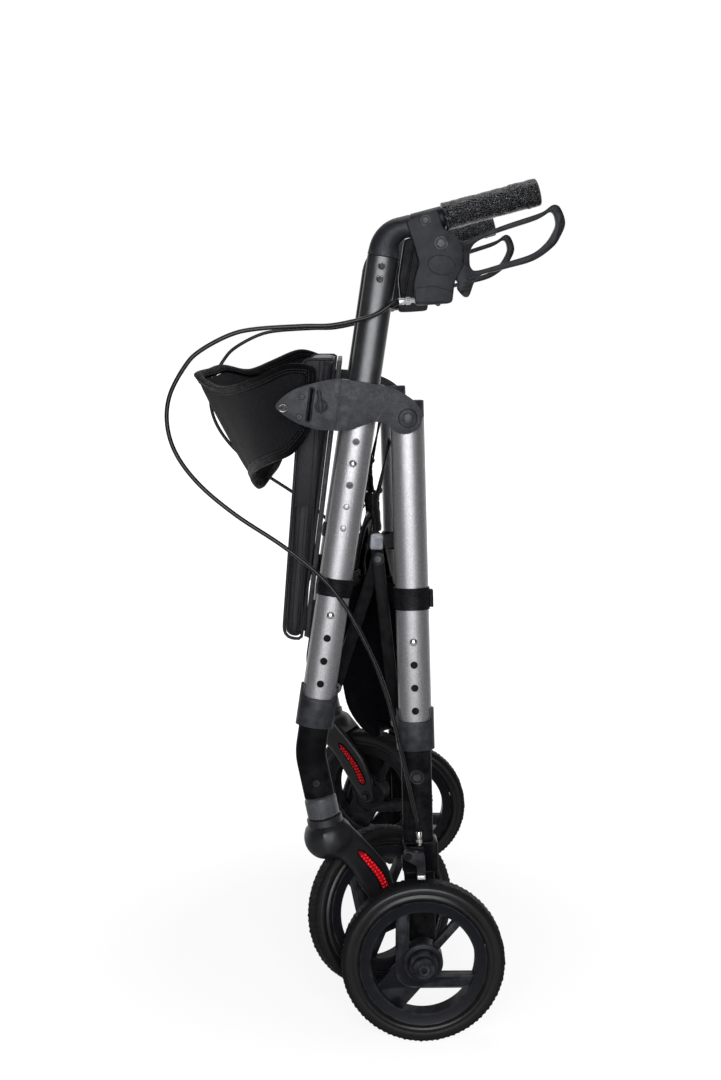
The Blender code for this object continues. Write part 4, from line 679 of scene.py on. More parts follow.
def mapped(tree, value, start, end, low=0.0, high=1.0):
    """Value carried from one range over to another."""
    return add_node(tree, "ShaderNodeMapRange", Value=value, From_Min=start, From_Max=end,
                    To_Min=low, To_Max=high).outputs["Result"]


# Geometry Nodes for what repeats

class Tree:
    """A Geometry Nodes tree being built, its nodes linked as they are made."""

    def __init__(self, name, takes_mesh, inputs):
        self.tree = bpy.data.node_groups.new(name, "GeometryNodeTree")
        face = self.tree.interface
        face.new_socket("Geometry", in_out="OUTPUT", socket_type="NodeSocketGeometry")
        if takes_mesh:
            face.new_socket("Geometry", in_out="INPUT", socket_type="NodeSocketGeometry")
        for label, kind, default in inputs:
            socket = face.new_socket(label, in_out="INPUT", socket_type="NodeSocket" + kind)
            if default is not None:
                socket.default_value = default
        self.given = self.tree.nodes.new("NodeGroupInput").outputs
        self.end = self.tree.nodes.new("NodeGroupOutput")

    def add(self, kind, settings=None, **inputs):
        return add_node(self.tree, kind, settings, **inputs)

    def close(self, geometry):
        real = self.add("GeometryNodeRealizeInstances", Geometry=geometry)
        painted = self.add("GeometryNodeSetMaterial", Geometry=real.outputs["Geometry"],
                           Material=self.given["Material"])
        self.tree.links.new(painted.outputs["Geometry"], self.end.inputs["Geometry"])
        return self.tree


def row_tree():
    """Copies of one piece along a straight row."""
    tree = Tree("Row of copies", False, (
        ("Piece", "Object", None), ("Start", "Vector", None), ("Step", "Vector", None),
        ("Count", "Int", 2), ("Material", "Material", None)))
    line = tree.add("GeometryNodeMeshLine", {"mode": "OFFSET"}, Count=tree.given["Count"],
                    Offset=tree.given["Step"])
    for socket in line.inputs:
        if socket.name == "Start Location":
            tree.tree.links.new(tree.given["Start"], socket)
    piece = tree.add("GeometryNodeObjectInfo", Object=tree.given["Piece"])
    copies = tree.add("GeometryNodeInstanceOnPoints", Points=line.outputs["Mesh"],
                      Instance=piece.outputs["Geometry"])
    return tree.close(copies.outputs["Instances"])


def stitch_tree():
    """Stitches along the edges of a line of points."""
    tree = Tree("Stitches", True, (
        ("Pitch", "Float", 0.0038), ("Length", "Float", 0.0026), ("Radius", "Float", 0.0003),
        ("Material", "Material", None)))
    seam = tree.add("GeometryNodeMeshToCurve", Mesh=tree.given["Geometry"])
    points = tree.add("GeometryNodeCurveToPoints", {"mode": "LENGTH"},
                      Curve=seam.outputs["Curve"], Length=tree.given["Pitch"])
    thread = tree.add("GeometryNodeMeshCylinder", Vertices=6, Radius=tree.given["Radius"],
                      Depth=tree.given["Length"])
    copies = tree.add("GeometryNodeInstanceOnPoints", Points=points.outputs["Points"],
                      Instance=thread.outputs["Mesh"], Rotation=points.outputs["Rotation"])
    return tree.close(copies.outputs["Instances"])


def bead_tree():
    """A bead on every point."""
    tree = Tree("Beads", True, (("Radius", "Float", 0.0018), ("Material", "Material", None)))
    points = tree.add("GeometryNodeMeshToPoints", Mesh=tree.given["Geometry"])
    bead = tree.add("GeometryNodeMeshIcoSphere", Radius=tree.given["Radius"], Subdivisions=3)
    copies = tree.add("GeometryNodeInstanceOnPoints", Points=points.outputs["Points"],
                      Instance=bead.outputs["Mesh"])
    return tree.close(copies.outputs["Instances"])


def tread_tree():
    """Slanted bars round a wheel whose axis is Z."""
    tree = Tree("Tread", False, (
        ("Radius", "Float", 0.095), ("Count", "Int", 90), ("Height", "Float", 0.0),
        ("Bar", "Vector", None), ("Slant", "Rotation", None), ("Material", "Material", None)))
    ring = tree.add("GeometryNodeCurvePrimitiveCircle", Radius=tree.given["Radius"])
    points = tree.add("GeometryNodeCurveToPoints", {"mode": "COUNT"},
                      Curve=ring.outputs["Curve"], Count=tree.given["Count"])
    bar = tree.add("GeometryNodeMeshCube", Size=tree.given["Bar"])
    copies = tree.add("GeometryNodeInstanceOnPoints", Points=points.outputs["Points"],
                      Instance=bar.outputs["Mesh"], Rotation=points.outputs["Rotation"])
    slanted = tree.add("GeometryNodeRotateInstances", Instances=copies.outputs["Instances"],
                       Rotation=tree.given["Slant"])
    lift = tree.add("ShaderNodeCombineXYZ", Z=tree.given["Height"])
    lifted = tree.add("GeometryNodeTranslateInstances", Instances=slanted.outputs["Instances"],
                      Translation=lift.outputs["Vector"])
    for socket in lifted.inputs:
        if socket.name == "Local Space":
            socket.default_value = False
    return tree.close(lifted.outputs["Instances"])


def grown(tree, base=None, **values):
    """Plain mesh of what a tree makes. Its inputs are set before it is first evaluated."""
    item = bench(base or bpy.data.meshes.new("base"))
    modifier = item.modifiers.new("made", "NODES")
    modifier.node_group = tree
    for socket in tree.interface.items_tree:
        if socket.item_type == "SOCKET" and socket.in_out == "INPUT" and socket.name in values:
            modifier[socket.identifier] = values[socket.name]
    return evaluated(item)


def row_of(mesh, start, step, count, finish):
    """Copies of a mesh in a straight row, as one plain mesh."""
    piece = bench(mesh)
    made = grown(TREES["row"], Piece=piece, Start=start, Step=step, Count=count,
                 Material=FINISHES[finish])
    bpy.data.objects.remove(piece, do_unlink=True)
    return made


def stitched(points, finish, sizes, closed=False):
    """Stitches along a line of points."""
    mesh = bpy.data.meshes.new("seam")
    edges = [(k, k + 1) for k in range(len(points) - 1)]
    if closed:
        edges.append((len(points) - 1, 0))
    mesh.from_pydata([tuple(point) for point in points], edges, [])
    return grown(TREES["stitch"], mesh, Pitch=sizes.stitch_pitch, Length=sizes.stitch_length,
                 Radius=sizes.stitch_radius, Material=FINISHES[finish])


# Finishes

class Finish:
    """A Principled material being built, with its pattern on Object coordinates."""

    def __init__(self, name, colour, roughness, metallic=0.0, specular=0.5):
        self.material = bpy.data.materials.new(name)
        self.material.use_nodes = True
        self.tree = self.material.node_tree
        self.surface = self.tree.nodes["Principled BSDF"].inputs
        self.colour = (*colour, 1.0)
        for key, value in (("Base Color", self.colour), ("Roughness", roughness),
                           ("Metallic", metallic), ("Specular IOR Level", specular)):
            self.surface[key].default_value = value
        self.place = self.tree.nodes.new("ShaderNodeTexCoord").outputs["Object"]
        self.tint = None
        self.bump = None

    def add(self, kind, settings=None, **inputs):
        return add_node(self.tree, kind, settings, **inputs)

    def noise(self, scale, detail=3.0, roughness=0.5, where=None):
        return self.add("ShaderNodeTexNoise", Vector=where or self.place, Scale=scale,
                        Detail=detail, Roughness=roughness).outputs["Fac"]

    def brushed(self, x, y, z, detail):
        """Noise drawn out along the axes with the smaller scales."""
        drawn = self.add("ShaderNodeMapping", Vector=self.place, Scale=(x, y, z))
        return self.noise(1.0, detail, where=drawn.outputs["Vector"])

    def ribs(self, axis, scale, distortion):
        return self.add("ShaderNodeTexWave", {"bands_direction": axis}, Vector=self.place,
                        Scale=scale, Distortion=distortion).outputs["Fac"]

    def cells(self, scale, feature="F1", output="Distance"):
        return self.add("ShaderNodeTexVoronoi", {"feature": feature}, Vector=self.place,
                        Scale=scale).outputs[output]

    def ramp(self, value, low, high, bottom=0.0, top=1.0):
        return mapped(self.tree, value, low, high, bottom, top)

    def times(self, first, second):
        return reckoned(self.tree, "MULTIPLY", first, second)

    def paint(self, share, colour):
        """Lays a colour over the base by a share from 0 to 1."""
        node = self.add("ShaderNodeMix", {"data_type": "RGBA"})
        feed(self.tree, share, node.inputs[0])
        feed(self.tree, self.tint or self.colour, node.inputs[6])
        node.inputs[7].default_value = (*colour, 1.0)
        self.tint = node.outputs[2]
        feed(self.tree, self.tint, self.surface["Base Color"])
        return self

    def flecks(self, scale, start, amount, colour):
        """Small cells of another colour."""
        share = self.ramp(self.cells(scale, output="Color"), *start, 0.0, amount)
        return self.paint(share, colour)

    def mottle(self, scale, dark, light, amount=1.0):
        """Slow change of shade, from a darker to a lighter share of the base colour."""
        share = self.ramp(self.noise(scale, 4.0, 0.6), 0.3, 0.7, 0.0, amount)
        base = self.colour[:3]
        self.paint(share, [min(c * light, 1.0) for c in base])
        share = self.ramp(self.noise(scale * 2.3, 3.0, 0.5), 0.45, 0.75, 0.0, amount)
        return self.paint(share, [c * dark for c in base])

    def wear(self, colour, share):
        """Paler convex edges, broken up by noise."""
        edge = self.add("ShaderNodeNewGeometry").outputs["Pointiness"]
        rubbed = self.times(self.ramp(edge, 0.505, 0.56), self.ramp(self.noise(90.0), 0.35, 0.65))
        return self.paint(self.times(rubbed, share), colour)

    def polish(self, scale, low, high):
        """Roughness that wanders between two values."""
        feed(self.tree, self.ramp(self.noise(scale, 4.0), 0.3, 0.7, low, high),
             self.surface["Roughness"])
        return self

    def raise_by(self, height, distance, strength):
        """Bump of a height pattern, in metres of depth."""
        node = self.add("ShaderNodeBump", Height=height, Distance=distance, Strength=strength)
        if self.bump:
            feed(self.tree, self.bump, node.inputs["Normal"])
        self.bump = node.outputs["Normal"]
        feed(self.tree, self.bump, self.surface["Normal"])
        return self


def plain_finishes(colours):
    """Name, colour, roughness, metallic and specular, then mottle, wear, polish and grain."""
    black, dull = colours.black_metal, [c * 0.3 for c in colours.charcoal]
    coal = (0.03, 0.03, 0.03)
    return {
        "black": ("satin_black_coating", black, 0.34, 0.0, 0.9, (90.0, 0.7, 1.5, 0.4),
                  (coal, 0.3), (120.0, 0.31, 0.38), (1500.0, 3.0, 0.00003, 0.25)),
        "matt": ("matt_black_coating", black, 0.34, 0.0, 0.03, (90.0, 0.7, 1.5, 0.4),
                 (coal, 0.3), (120.0, 0.31, 0.38), (1500.0, 3.0, 0.00003, 0.25)),
        "satin": ("satin_charcoal_plastic", [c * 0.7 for c in colours.charcoal], 0.38, 0.0, 0.12,
                  (90.0, 0.75, 1.4, 0.4), ((0.06, 0.06, 0.065), 0.45), (160.0, 0.34, 0.44),
                  (1300.0, 2.0, 0.00008, 0.35)),
        "glossy": ("glossy_black_plastic", dull, 0.22, 0.0, 0.03, (70.0, 0.7, 1.5, 0.4),
                   (coal, 0.35), (110.0, 0.19, 0.26), (700.0, 2.0, 0.00004, 0.2)),
        "fork": ("soft_gloss_black_plastic", dull, 0.43, 0.0, 0.5, (70.0, 0.7, 1.5, 0.4),
                 (coal, 0.35), (110.0, 0.4, 0.47), (700.0, 2.0, 0.00004, 0.2)),
        "grey": ("grey_bush_plastic", (0.04, 0.041, 0.045), 0.36, 0.0, 0.3, (90.0, 0.8, 1.3, 0.5),
                 ((0.1, 0.1, 0.1), 0.4), (150.0, 0.32, 0.42), (1100.0, 2.0, 0.00005, 0.3)),
        "zinc": ("dark_zinc", (0.01, 0.01, 0.0115), 0.34, 0.4, 0.2, (160.0, 0.6, 1.4, 0.5),
                 ((0.1, 0.1, 0.1), 0.4), (300.0, 0.26, 0.42), (1500.0, 2.0, 0.00003, 0.3)),
        "pale": ("pale_adjuster", (0.72, 0.72, 0.71), 0.2, 0.75, 0.5, (260.0, 0.45, 1.1, 0.5),
                 None, (400.0, 0.14, 0.28), (1800.0, 2.0, 0.00002, 0.25)),
        "tread": ("tread_rubber", colours.rubber, 0.6, 0.0, 0.12, (120.0, 0.7, 1.6, 0.5),
                  None, (200.0, 0.5, 0.68), (700.0, 4.0, 0.0002, 0.5)),
        "sidewall": ("sidewall_rubber", colours.sidewall, 0.3, 0.0, 0.33, (90.0, 0.75, 1.35, 0.5),
                     None, (120.0, 0.27, 0.35), (700.0, 4.0, 0.00012, 0.4)),
        "thread": ("sewing_thread", (0.036, 0.036, 0.036 * 1.08), 0.6, 0.0, 0.1,
                   (300.0, 0.7, 1.6, 0.6), None, (300.0, 0.5, 0.7), (4000.0, 2.0, 0.0001, 0.5)),
        "dark_thread": ("black_sewing_thread", (0.002, 0.002, 0.002 * 1.08), 0.6, 0.0, 0.1,
                        (300.0, 0.7, 1.6, 0.6), None, (300.0, 0.5, 0.7),
                        (4000.0, 2.0, 0.0001, 0.5)),
        "cable": ("cable_sleeve", (0.0035, 0.0035, 0.004), 0.24, 0.0, 0.3, (80.0, 0.7, 1.8, 0.5),
                  None, (100.0, 0.22, 0.34), (900.0, 2.0, 0.00005, 0.3)),
    }


def make_finishes(colours):
    """Every material of the rollator, by name."""
    made = {}
    for key, row in plain_finishes(colours).items():
        mottle, wear, polish, (scale, detail, distance, strength) = row[5:]
        new = Finish(*row[:5]).mottle(*mottle).polish(*polish)
        if wear:
            new.wear(*wear)
        made[key] = new.raise_by(new.noise(scale, detail), distance, strength)

    new = made["pewter"] = Finish("pewter_coating", colours.pewter, 0.4, 0.8, 0.3)
    new.flecks(1000.0, (0.55, 0.95), 0.55, (0.46, 0.455, 0.455))
    new.flecks(1300.0, (0.55, 0.95), 0.45, (0.15, 0.147, 0.147))
    new.wear((0.3, 0.295, 0.29), 0.25).polish(260.0, 0.34, 0.41)
    new.raise_by(new.noise(1400.0, 2.0), 0.00003, 0.3)

    new = made["charcoal"] = Finish("grained_charcoal_plastic", colours.charcoal, 0.5, 0.0, 0.21)
    new.mottle(110.0, 0.7, 1.5, 0.5).wear((0.07, 0.07, 0.075), 0.5).polish(300.0, 0.36, 0.52)
    grain = reckoned(new.tree, "ADD", new.cells(1100.0, "SMOOTH_F1"), new.noise(600.0))
    new.raise_by(grain, 0.00025, 0.6)

    new = made["steel"] = Finish("bright_steel", colours.steel, 0.24, 1.0)
    new.mottle(240.0, 0.5, 1.15, 0.6).polish(500.0, 0.16, 0.32)
    new.raise_by(new.brushed(300.0, 300.0, 4000.0, 2.0), 0.00003, 0.25)

    new = made["block"] = Finish("brushed_block", (0.05, 0.053, 0.065), 0.3, 0.5)
    new.mottle(120.0, 0.6, 1.3, 0.5).wear((0.5, 0.5, 0.5), 0.6).polish(300.0, 0.26, 0.46)
    new.raise_by(new.brushed(3000.0, 300.0, 300.0, 3.0), 0.00006, 0.4)

    new = made["grip"] = Finish("wrinkled_grip_rubber", (0.0018, 0.0018, 0.0021), 0.16)
    new.mottle(150.0, 0.7, 2.0, 0.5).polish(220.0, 0.12, 0.2)
    new.raise_by(new.ramp(new.cells(460.0, "DISTANCE_TO_EDGE"), 0.0, 0.25), 0.0008, 0.7)
    new.raise_by(new.noise(280.0, 4.0, 0.6), 0.0016, 0.6)

    new = made["leatherette"] = Finish("seat_leatherette", colours.leatherette, 0.42, 0.0, 0.2)
    new.mottle(60.0, 0.8, 1.4, 0.5).polish(90.0, 0.34, 0.46)
    new.raise_by(new.ramp(new.cells(620.0, "DISTANCE_TO_EDGE"), 0.0, 0.12), 0.0003, 0.45)
    new.raise_by(new.noise(45.0), 0.0012, 0.2)

    new = made["nylon"] = Finish("loose_black_nylon", colours.nylon, 0.34, 0.0, 0.06)
    weave = new.times(new.ribs("Z", 420.0, 0.6), new.ribs("Y", 420.0, 0.6))
    new.mottle(60.0, 0.7, 1.8, 0.5).polish(70.0, 0.26, 0.42)
    new.raise_by(new.noise(48.0, 5.0, 0.62), 0.008, 0.5).raise_by(weave, 0.0002, 0.4)

    new = made["neoprene"] = Finish("mottled_neoprene", colours.neoprene, 0.8, 0.0, 0.12)
    new.surface["Sheen Weight"].default_value = 0.02
    new.paint(new.ramp(new.noise(420.0, 5.0, 0.75), 0.42, 0.62, 0.0, 0.7), (0.005, 0.005, 0.0058))
    new.flecks(800.0, (0.72, 1.0), 0.5, (0.034, 0.034, 0.038))
    new.raise_by(new.cells(900.0), 0.0004, 0.6).raise_by(new.noise(90.0), 0.0012, 0.25)

    new = made["tape"] = Finish("black_binding_tape", (0.0016, 0.0016, 0.0019), 0.5, 0.0, 0.04)
    new.mottle(90.0, 0.7, 1.8, 0.5).polish(120.0, 0.42, 0.58)
    new.raise_by(new.ribs("Y", 420.0, 0.8), 0.0003, 0.5)
    new.raise_by(new.noise(900.0, 2.0), 0.0002, 0.4)

    new = made["elastic"] = Finish("ribbed_elastic", (0.0035, 0.0035, 0.004), 0.34, 0.0, 0.14)
    new.mottle(80.0, 0.7, 2.0, 0.5).polish(140.0, 0.22, 0.36)
    new.raise_by(new.ribs("Z", 150.0, 0.4), 0.0008, 0.6)
    new.raise_by(new.noise(1200.0, 2.0), 0.0001, 0.3)

    new = made["red"] = Finish("red_reflector", colours.reflector, 0.16, 0.0, 0.25)
    new.mottle(260.0, 0.6, 1.4, 0.5).polish(200.0, 0.12, 0.22)
    new.raise_by(new.cells(700.0), 0.0002, 0.4)

    backing = [c * 0.45 for c in colours.reflector]
    new = made["backing"] = Finish("dark_red_backing", backing, 0.3, 0.0, 0.15)
    new.mottle(200.0, 0.5, 1.8, 0.6).polish(200.0, 0.2, 0.4)
    new.raise_by(new.cells(600.0), 0.0003, 0.5)
    return {key: finish.material for key, finish in made.items()}


# Outer tubes, caps and collars

def side_hole(z, radius, floor=-0.0055):
    return y_rod(radius, (0.0, z), -0.03, floor)


def make_frame_tubes(sizes):
    tube = oval_shell(TUBE, TUBE_WALL, *FRONT_TUBE)
    holes = [side_hole(z, BUTTON_RADIUS + GAP) for z in HANDLE_HOLES + FRONT_HOLES]
    dents = [side_hole(z, BUTTON_RADIUS, -TUBE[1] / 2 + 0.0006) for z in DIMPLES]
    place_pair("front_upright", cut(tube, merge(*holes, *dents)), FRONT, "front_frame", "pewter",
               "front_tube")
    disc = along_y(lathe([(0.0, 0.0), (0.0028, 0.0), (0.003, 0.0001), (0.003, 0.0006),
                          (0.0, 0.0006)], 24))
    discs = row_of(disc, (0.0, -0.01105, HANDLE_HOLES[0]), (0.0, 0.0, -0.05), 2, "grey")
    place_pair("post_discs", discs, FRONT, "handle_", "grey")
    stud = along_y(lathe([(0.0, 0.0), (0.0036, 0.0), (0.0036, -0.0005), (0.003, -0.0008),
                          (0.0018, -0.0011), (0.0, -0.0012)], 28))
    studs = row_of(stud, (0.0, -TUBE[1] / 2 + 0.0007, DIMPLES[0]),
                   (0.0, 0.0, DIMPLES[1] - DIMPLES[0]), 2, "pewter")
    place_pair("upright_studs", studs, FRONT, "front_frame", "pewter")
    tube = oval_shell(TUBE, TUBE_WALL, REAR_TUBE[0], 0.0)
    holes = [side_hole(z, BUTTON_RADIUS + GAP) for z in REAR_HOLES]
    place_pair("rear_upright", cut(tube, merge(*holes)), REAR, "rear_frame", "pewter", "rear_tube")
    top = REAR_TUBE[1]
    cap = skin([oval_ring(TUBE, -0.009, grow=-0.0016), oval_ring(TUBE, GAP, grow=-0.0016),
                oval_ring(TUBE, GAP), oval_ring(TUBE, top + 0.0012),
                oval_ring(TUBE, top + 0.0021, grow=-0.0014)])
    cap = cut(cap, y_rod(PIN_BORE, (0.0, 0.0), -0.03, 0.03))
    place_pair("upright_cap", cap, REAR, "rear_frame", "charcoal", "tube_cap")


def collar_mesh(tube_end, edge):
    """Sleeve over the end of a tube, with its face cut lower on the outer side."""
    top = tube_end + COLLAR_ABOVE
    body = oval_solid(COLLAR, top - COLLAR_LENGTH, top)
    half, foot = TUBE[0] / 2 + 0.0002, top - COLLAR_DIP
    dip = [(-half, top + 0.02), (half, top + 0.02), (half, foot), (-half, foot)]
    dip = slab(rounded(dip, 0.008), -0.03, -0.006)
    body = round_edges(cut(body, dip), edge)
    over_tube = oval_solid(TUBE, tube_end - GAP, top + 0.01, grow=GAP)
    over_leg = oval_solid(INNER, top - COLLAR_LENGTH - 0.01, tube_end, grow=GAP)
    return cut(body, over_tube, over_leg)


def make_collars(sizes):
    for name, end, place_at, body in (("front", FRONT_TUBE[0], FRONT, "front_frame"),
                                      ("rear", REAR_TUBE[0], REAR, "rear_frame")):
        place_pair(f"{name}_sleeve", collar_mesh(end, sizes.edge_round), place_at, body, "charcoal",
                   f"{name}_collar")


# Fold bracket

def socket_screw(radius, proud):
    """Round screw head along -Y with a sunk hexagonal socket."""
    head = lathe([(0.0, -0.001), (radius, -0.001), (radius, proud * 0.55), (radius * 0.82, proud),
                  (0.0, proud)], 32)
    socket = rod(radius * 0.5, (0.0, 0.0, proud * 0.3), (0.0, 0.0, proud * 2.0), 6)
    return facing_out(cut(head, socket))


def screw_ring(radius, proud):
    """Raised ring round a screw's socket, along -Y."""
    ring = lathe([(radius * 0.66, -0.0005), (radius, -0.0005), (radius, proud * 0.7),
                  (radius * 0.86, proud * 1.15), (radius * 0.7, proud * 0.9),
                  (radius * 0.66, proud * 0.5)], 32, closed=True)
    return facing_out(ring)


def ringed_bolt(radius, proud):
    """Washer with a raised rim and a hexagonal head, along -Y."""
    washer = lathe([(0.0, -0.001), (radius, -0.001), (radius, proud * 0.35),
                    (radius * 0.94, proud * 0.5), (radius * 0.8, proud * 0.5),
                    (radius * 0.76, proud * 0.3), (0.0, proud * 0.3)], 48)
    head = round_edges(rod(radius * 0.62, (0.0, 0.0, 0.0), (0.0, 0.0, proud), 6), 0.0003, 1, 50.0)
    return facing_out(merge(washer, head))


def make_brackets(sizes):
    body = slab(curve(BRACKET_OUTLINE, 5, closed=True), PLATE_OUTER, BLOCK_INNER)
    behind = slab(box_outline((BLOCK_REAR, 0.2), (-0.1, 0.1)), PLATE_OUTER + PLATE_SHEET, 0.1)
    wing = [(-0.2, -0.1), (BRACKET_STEP + 0.0015, -0.1), (BRACKET_STEP - 0.0015, 0.1), (-0.2, 0.1)]
    body = cut(body, behind, slab(wing, -0.1, LOW_PLATE[0]), slab(wing, LOW_PLATE[1], 0.1))
    body = round_edges(body, sizes.edge_round, 3)
    lip = FRONT_TUBE[1] + GAP
    slot = slab(bar_outline(*STRAP_SLOT, 0.003), -0.03, 0.03)
    pivot = y_rod(PIN_BORE, PIVOT_ON_PLATE, -0.03, 0.03)
    body = cut(body, oval_solid(TUBE, -0.05, lip, grow=GAP),
               oval_solid(INNER, 0.0, 0.06, grow=GAP), merge(slot, pivot))
    place_pair("fold_bracket", body, FRONT, "front_frame", "charcoal", "bracket")
    face = LOW_PLATE[0]
    disc = lathe([(0.0, -0.0014), (0.0056, -0.0014), (0.0062, -0.002), (0.007, -0.002),
                  (0.0076, -0.0012), (0.0076, 0.001), (0.0, 0.001)], 48)
    disc = at(along_y(disc), BOSS, face)
    bar = round_edges(slab(bar_outline(*BOSS_BAR, 0.0046), face - 0.0036, face - 0.0006), 0.0009)
    rim = [(x, face - 0.0001, z) for x, z in bar_outline(*STRAP_SLOT, 0.0052, 12)]
    lip = sweep(rim, 0.0009, 10, closed=True)
    place_pair("bracket_boss", merge(disc, bar, lip), FRONT, "front_frame", "satin")
    star = socket_screw(0.0036, 0.0017)
    stars = merge(*[at(star.copy(), point, face) for point in PLATE_SCREWS])
    place_pair("bracket_screws", stars, FRONT, "front_frame", "zinc")
    ring = at(screw_ring(0.005, 0.0012), PLATE_SCREWS[0], face)
    place_pair("bracket_screw_ring", ring, FRONT, "front_frame", "steel")
    face = PLATE_OUTER - GAP
    washer = lathe([(0.0, -0.003), (0.0088, -0.003), (0.0101, -0.0024), (0.0109, -0.0008),
                    (0.0109, 0.0), (0.0, 0.0)], 56)
    washer = at(along_y(washer), PIVOT_ON_PLATE, face)
    head = y_rod(0.0065, PIVOT_ON_PLATE, face - 0.0072, face - 0.0025, 6)
    shank = y_rod(0.0039, PIVOT_ON_PLATE, face, 0.02)
    nut = y_rod(0.0065, PIVOT_ON_PLATE, 0.0128, 0.0188, 6)
    place_pair("pivot_washer", washer, FRONT, "front_frame", "charcoal")
    bolt = merge(round_edges(head, 0.0005, 2, 50.0), shank, round_edges(nut, 0.0005, 2, 50.0))
    place_pair("fold_pivot", bolt, FRONT, "front_frame", "zinc", "pivot_bolt")


# Handles

def grip_point(reach):
    return (GRIP_START[0] + reach * math.cos(GRIP_ANGLE),
            GRIP_START[1] + reach * math.sin(GRIP_ANGLE))


def elbow_rings(extra):
    """Rings of the elbow and its bar. With a margin they are the room that it needs."""
    up = math.pi / 2
    start = HANDLE_TUBE[1] + GAP
    if extra:
        rings = [section((0.0, start - 0.02), up, INNER[0] + 2 * extra, ELBOW_DEPTH + 2 * extra)]
    else:
        rings = [section((0.0, start - 0.03), up, 0.0308, 0.0173),
                 section((0.0, start), up, 0.0308, 0.0173),
                 section((0.0, start), up, INNER[0] - 0.0012, ELBOW_DEPTH - 0.0012),
                 section((0.0, start + 0.0008), up, INNER[0] + 0.0004, ELBOW_DEPTH)]
    stations = bend(ELBOW_CORNER, up, GRIP_ANGLE - up, ELBOW_ARC, 14)
    for k, (point, heading) in enumerate(stations):
        share = (k + 2) / (len(stations) + 1)
        width = INNER[0] + (2 * ELBOW_RADIUS - INNER[0]) * share + 2 * extra
        depth = ELBOW_DEPTH + (2 * ELBOW_RADIUS - ELBOW_DEPTH) * share + 2 * extra
        rings.append(section(point, heading, width, depth))
    end = grip_point(-0.036)
    size = 2 * ELBOW_RADIUS + 2 * extra
    rings.append(section(grip_point(-0.0372), GRIP_ANGLE, size, size))
    bar = 2 * BAR_RADIUS + 2 * extra
    rings.append(section(end, GRIP_ANGLE, size - 0.0016, size - 0.0016))
    rings.append(section(end, GRIP_ANGLE, bar, bar))
    rings.append(section(grip_point(0.02 if extra else GRIP_LENGTH - 0.004), GRIP_ANGLE, bar, bar))
    return rings


def grip_mesh(wrinkle):
    """Rubber sleeve with a flared start, loose wrinkles, one diagonal fold and a flat end."""
    rings = []
    count, sides = 96, 80
    for k in range(count + 1):
        reach = GRIP_LENGTH * k / count
        from_start, from_end = reach, GRIP_LENGTH - reach
        base = GRIP_RADIUS - 0.0004
        base += 0.0007 * math.exp(-(from_start / 0.004) ** 2)
        base += 0.0004 * math.exp(-((reach - 0.018) / 0.012) ** 2)
        if from_end < 0.0022:
            base -= 0.0022 - math.sqrt(max(0.0022 ** 2 - (0.0022 - from_end) ** 2, 0.0))
        if from_start < 0.0012:
            base -= 0.001 * (1.0 - from_start / 0.0012)
        ring = []
        for j in range(sides):
            angle = math.tau * j / sides
            around = Vector((math.cos(angle), math.sin(angle), 0.0)) * GRIP_RADIUS
            where = around + Vector((0.0, 0.0, reach))
            loose = noise.noise(where * 130.0) * 0.9 + noise.noise(where * 320.0) * 0.5
            fold_at = 0.088 + 0.01 * math.cos(angle + 0.9)
            fold = math.exp(-((reach - fold_at) / 0.0016) ** 2)
            step = 0.5 if reach > fold_at else 0.0
            ends = min(1.0, from_end / 0.004, from_start / 0.002)
            radius = base + ends * wrinkle * (loose + 1.1 * fold + step)
            ring.append((radius * math.cos(angle), radius * math.sin(angle), reach))
        rings.append(ring)
    mesh = skin(rings)
    direction = Vector((math.cos(GRIP_ANGLE), 0.0, math.sin(GRIP_ANGLE)))
    turn = direction.to_track_quat("Z", "Y").to_matrix().to_4x4()
    return moved(mesh, Matrix.Translation((GRIP_START[0], 0.0, GRIP_START[1])) @ turn)


def make_handles(sizes):
    tube = oval_shell(INNER, INNER_WALL, *HANDLE_TUBE)
    place_pair("handle_post", tube, FRONT, "handle_", "black", "handle_tube")
    for name, head, finish in (("handle_screws", socket_screw(0.0031, 0.0012), "zinc"),
                               ("handle_screw_rings", screw_ring(0.0046, 0.0012), "steel")):
        screws = row_of(head, (0.0, -INNER[1] / 2, 0.1721), (0.0, 0.0, -0.0145), 2, finish)
        place_pair(name, screws, FRONT, "handle_", finish)
    place_pair("elbow", skin(elbow_rings(0.0)), FRONT, "handle_", "charcoal", "handle_elbow")
    place_pair("hand_grip", grip_mesh(sizes.grip_wrinkle), FRONT, "handle_", "grip", "grip",
               sharp=SOFT_ANGLE)


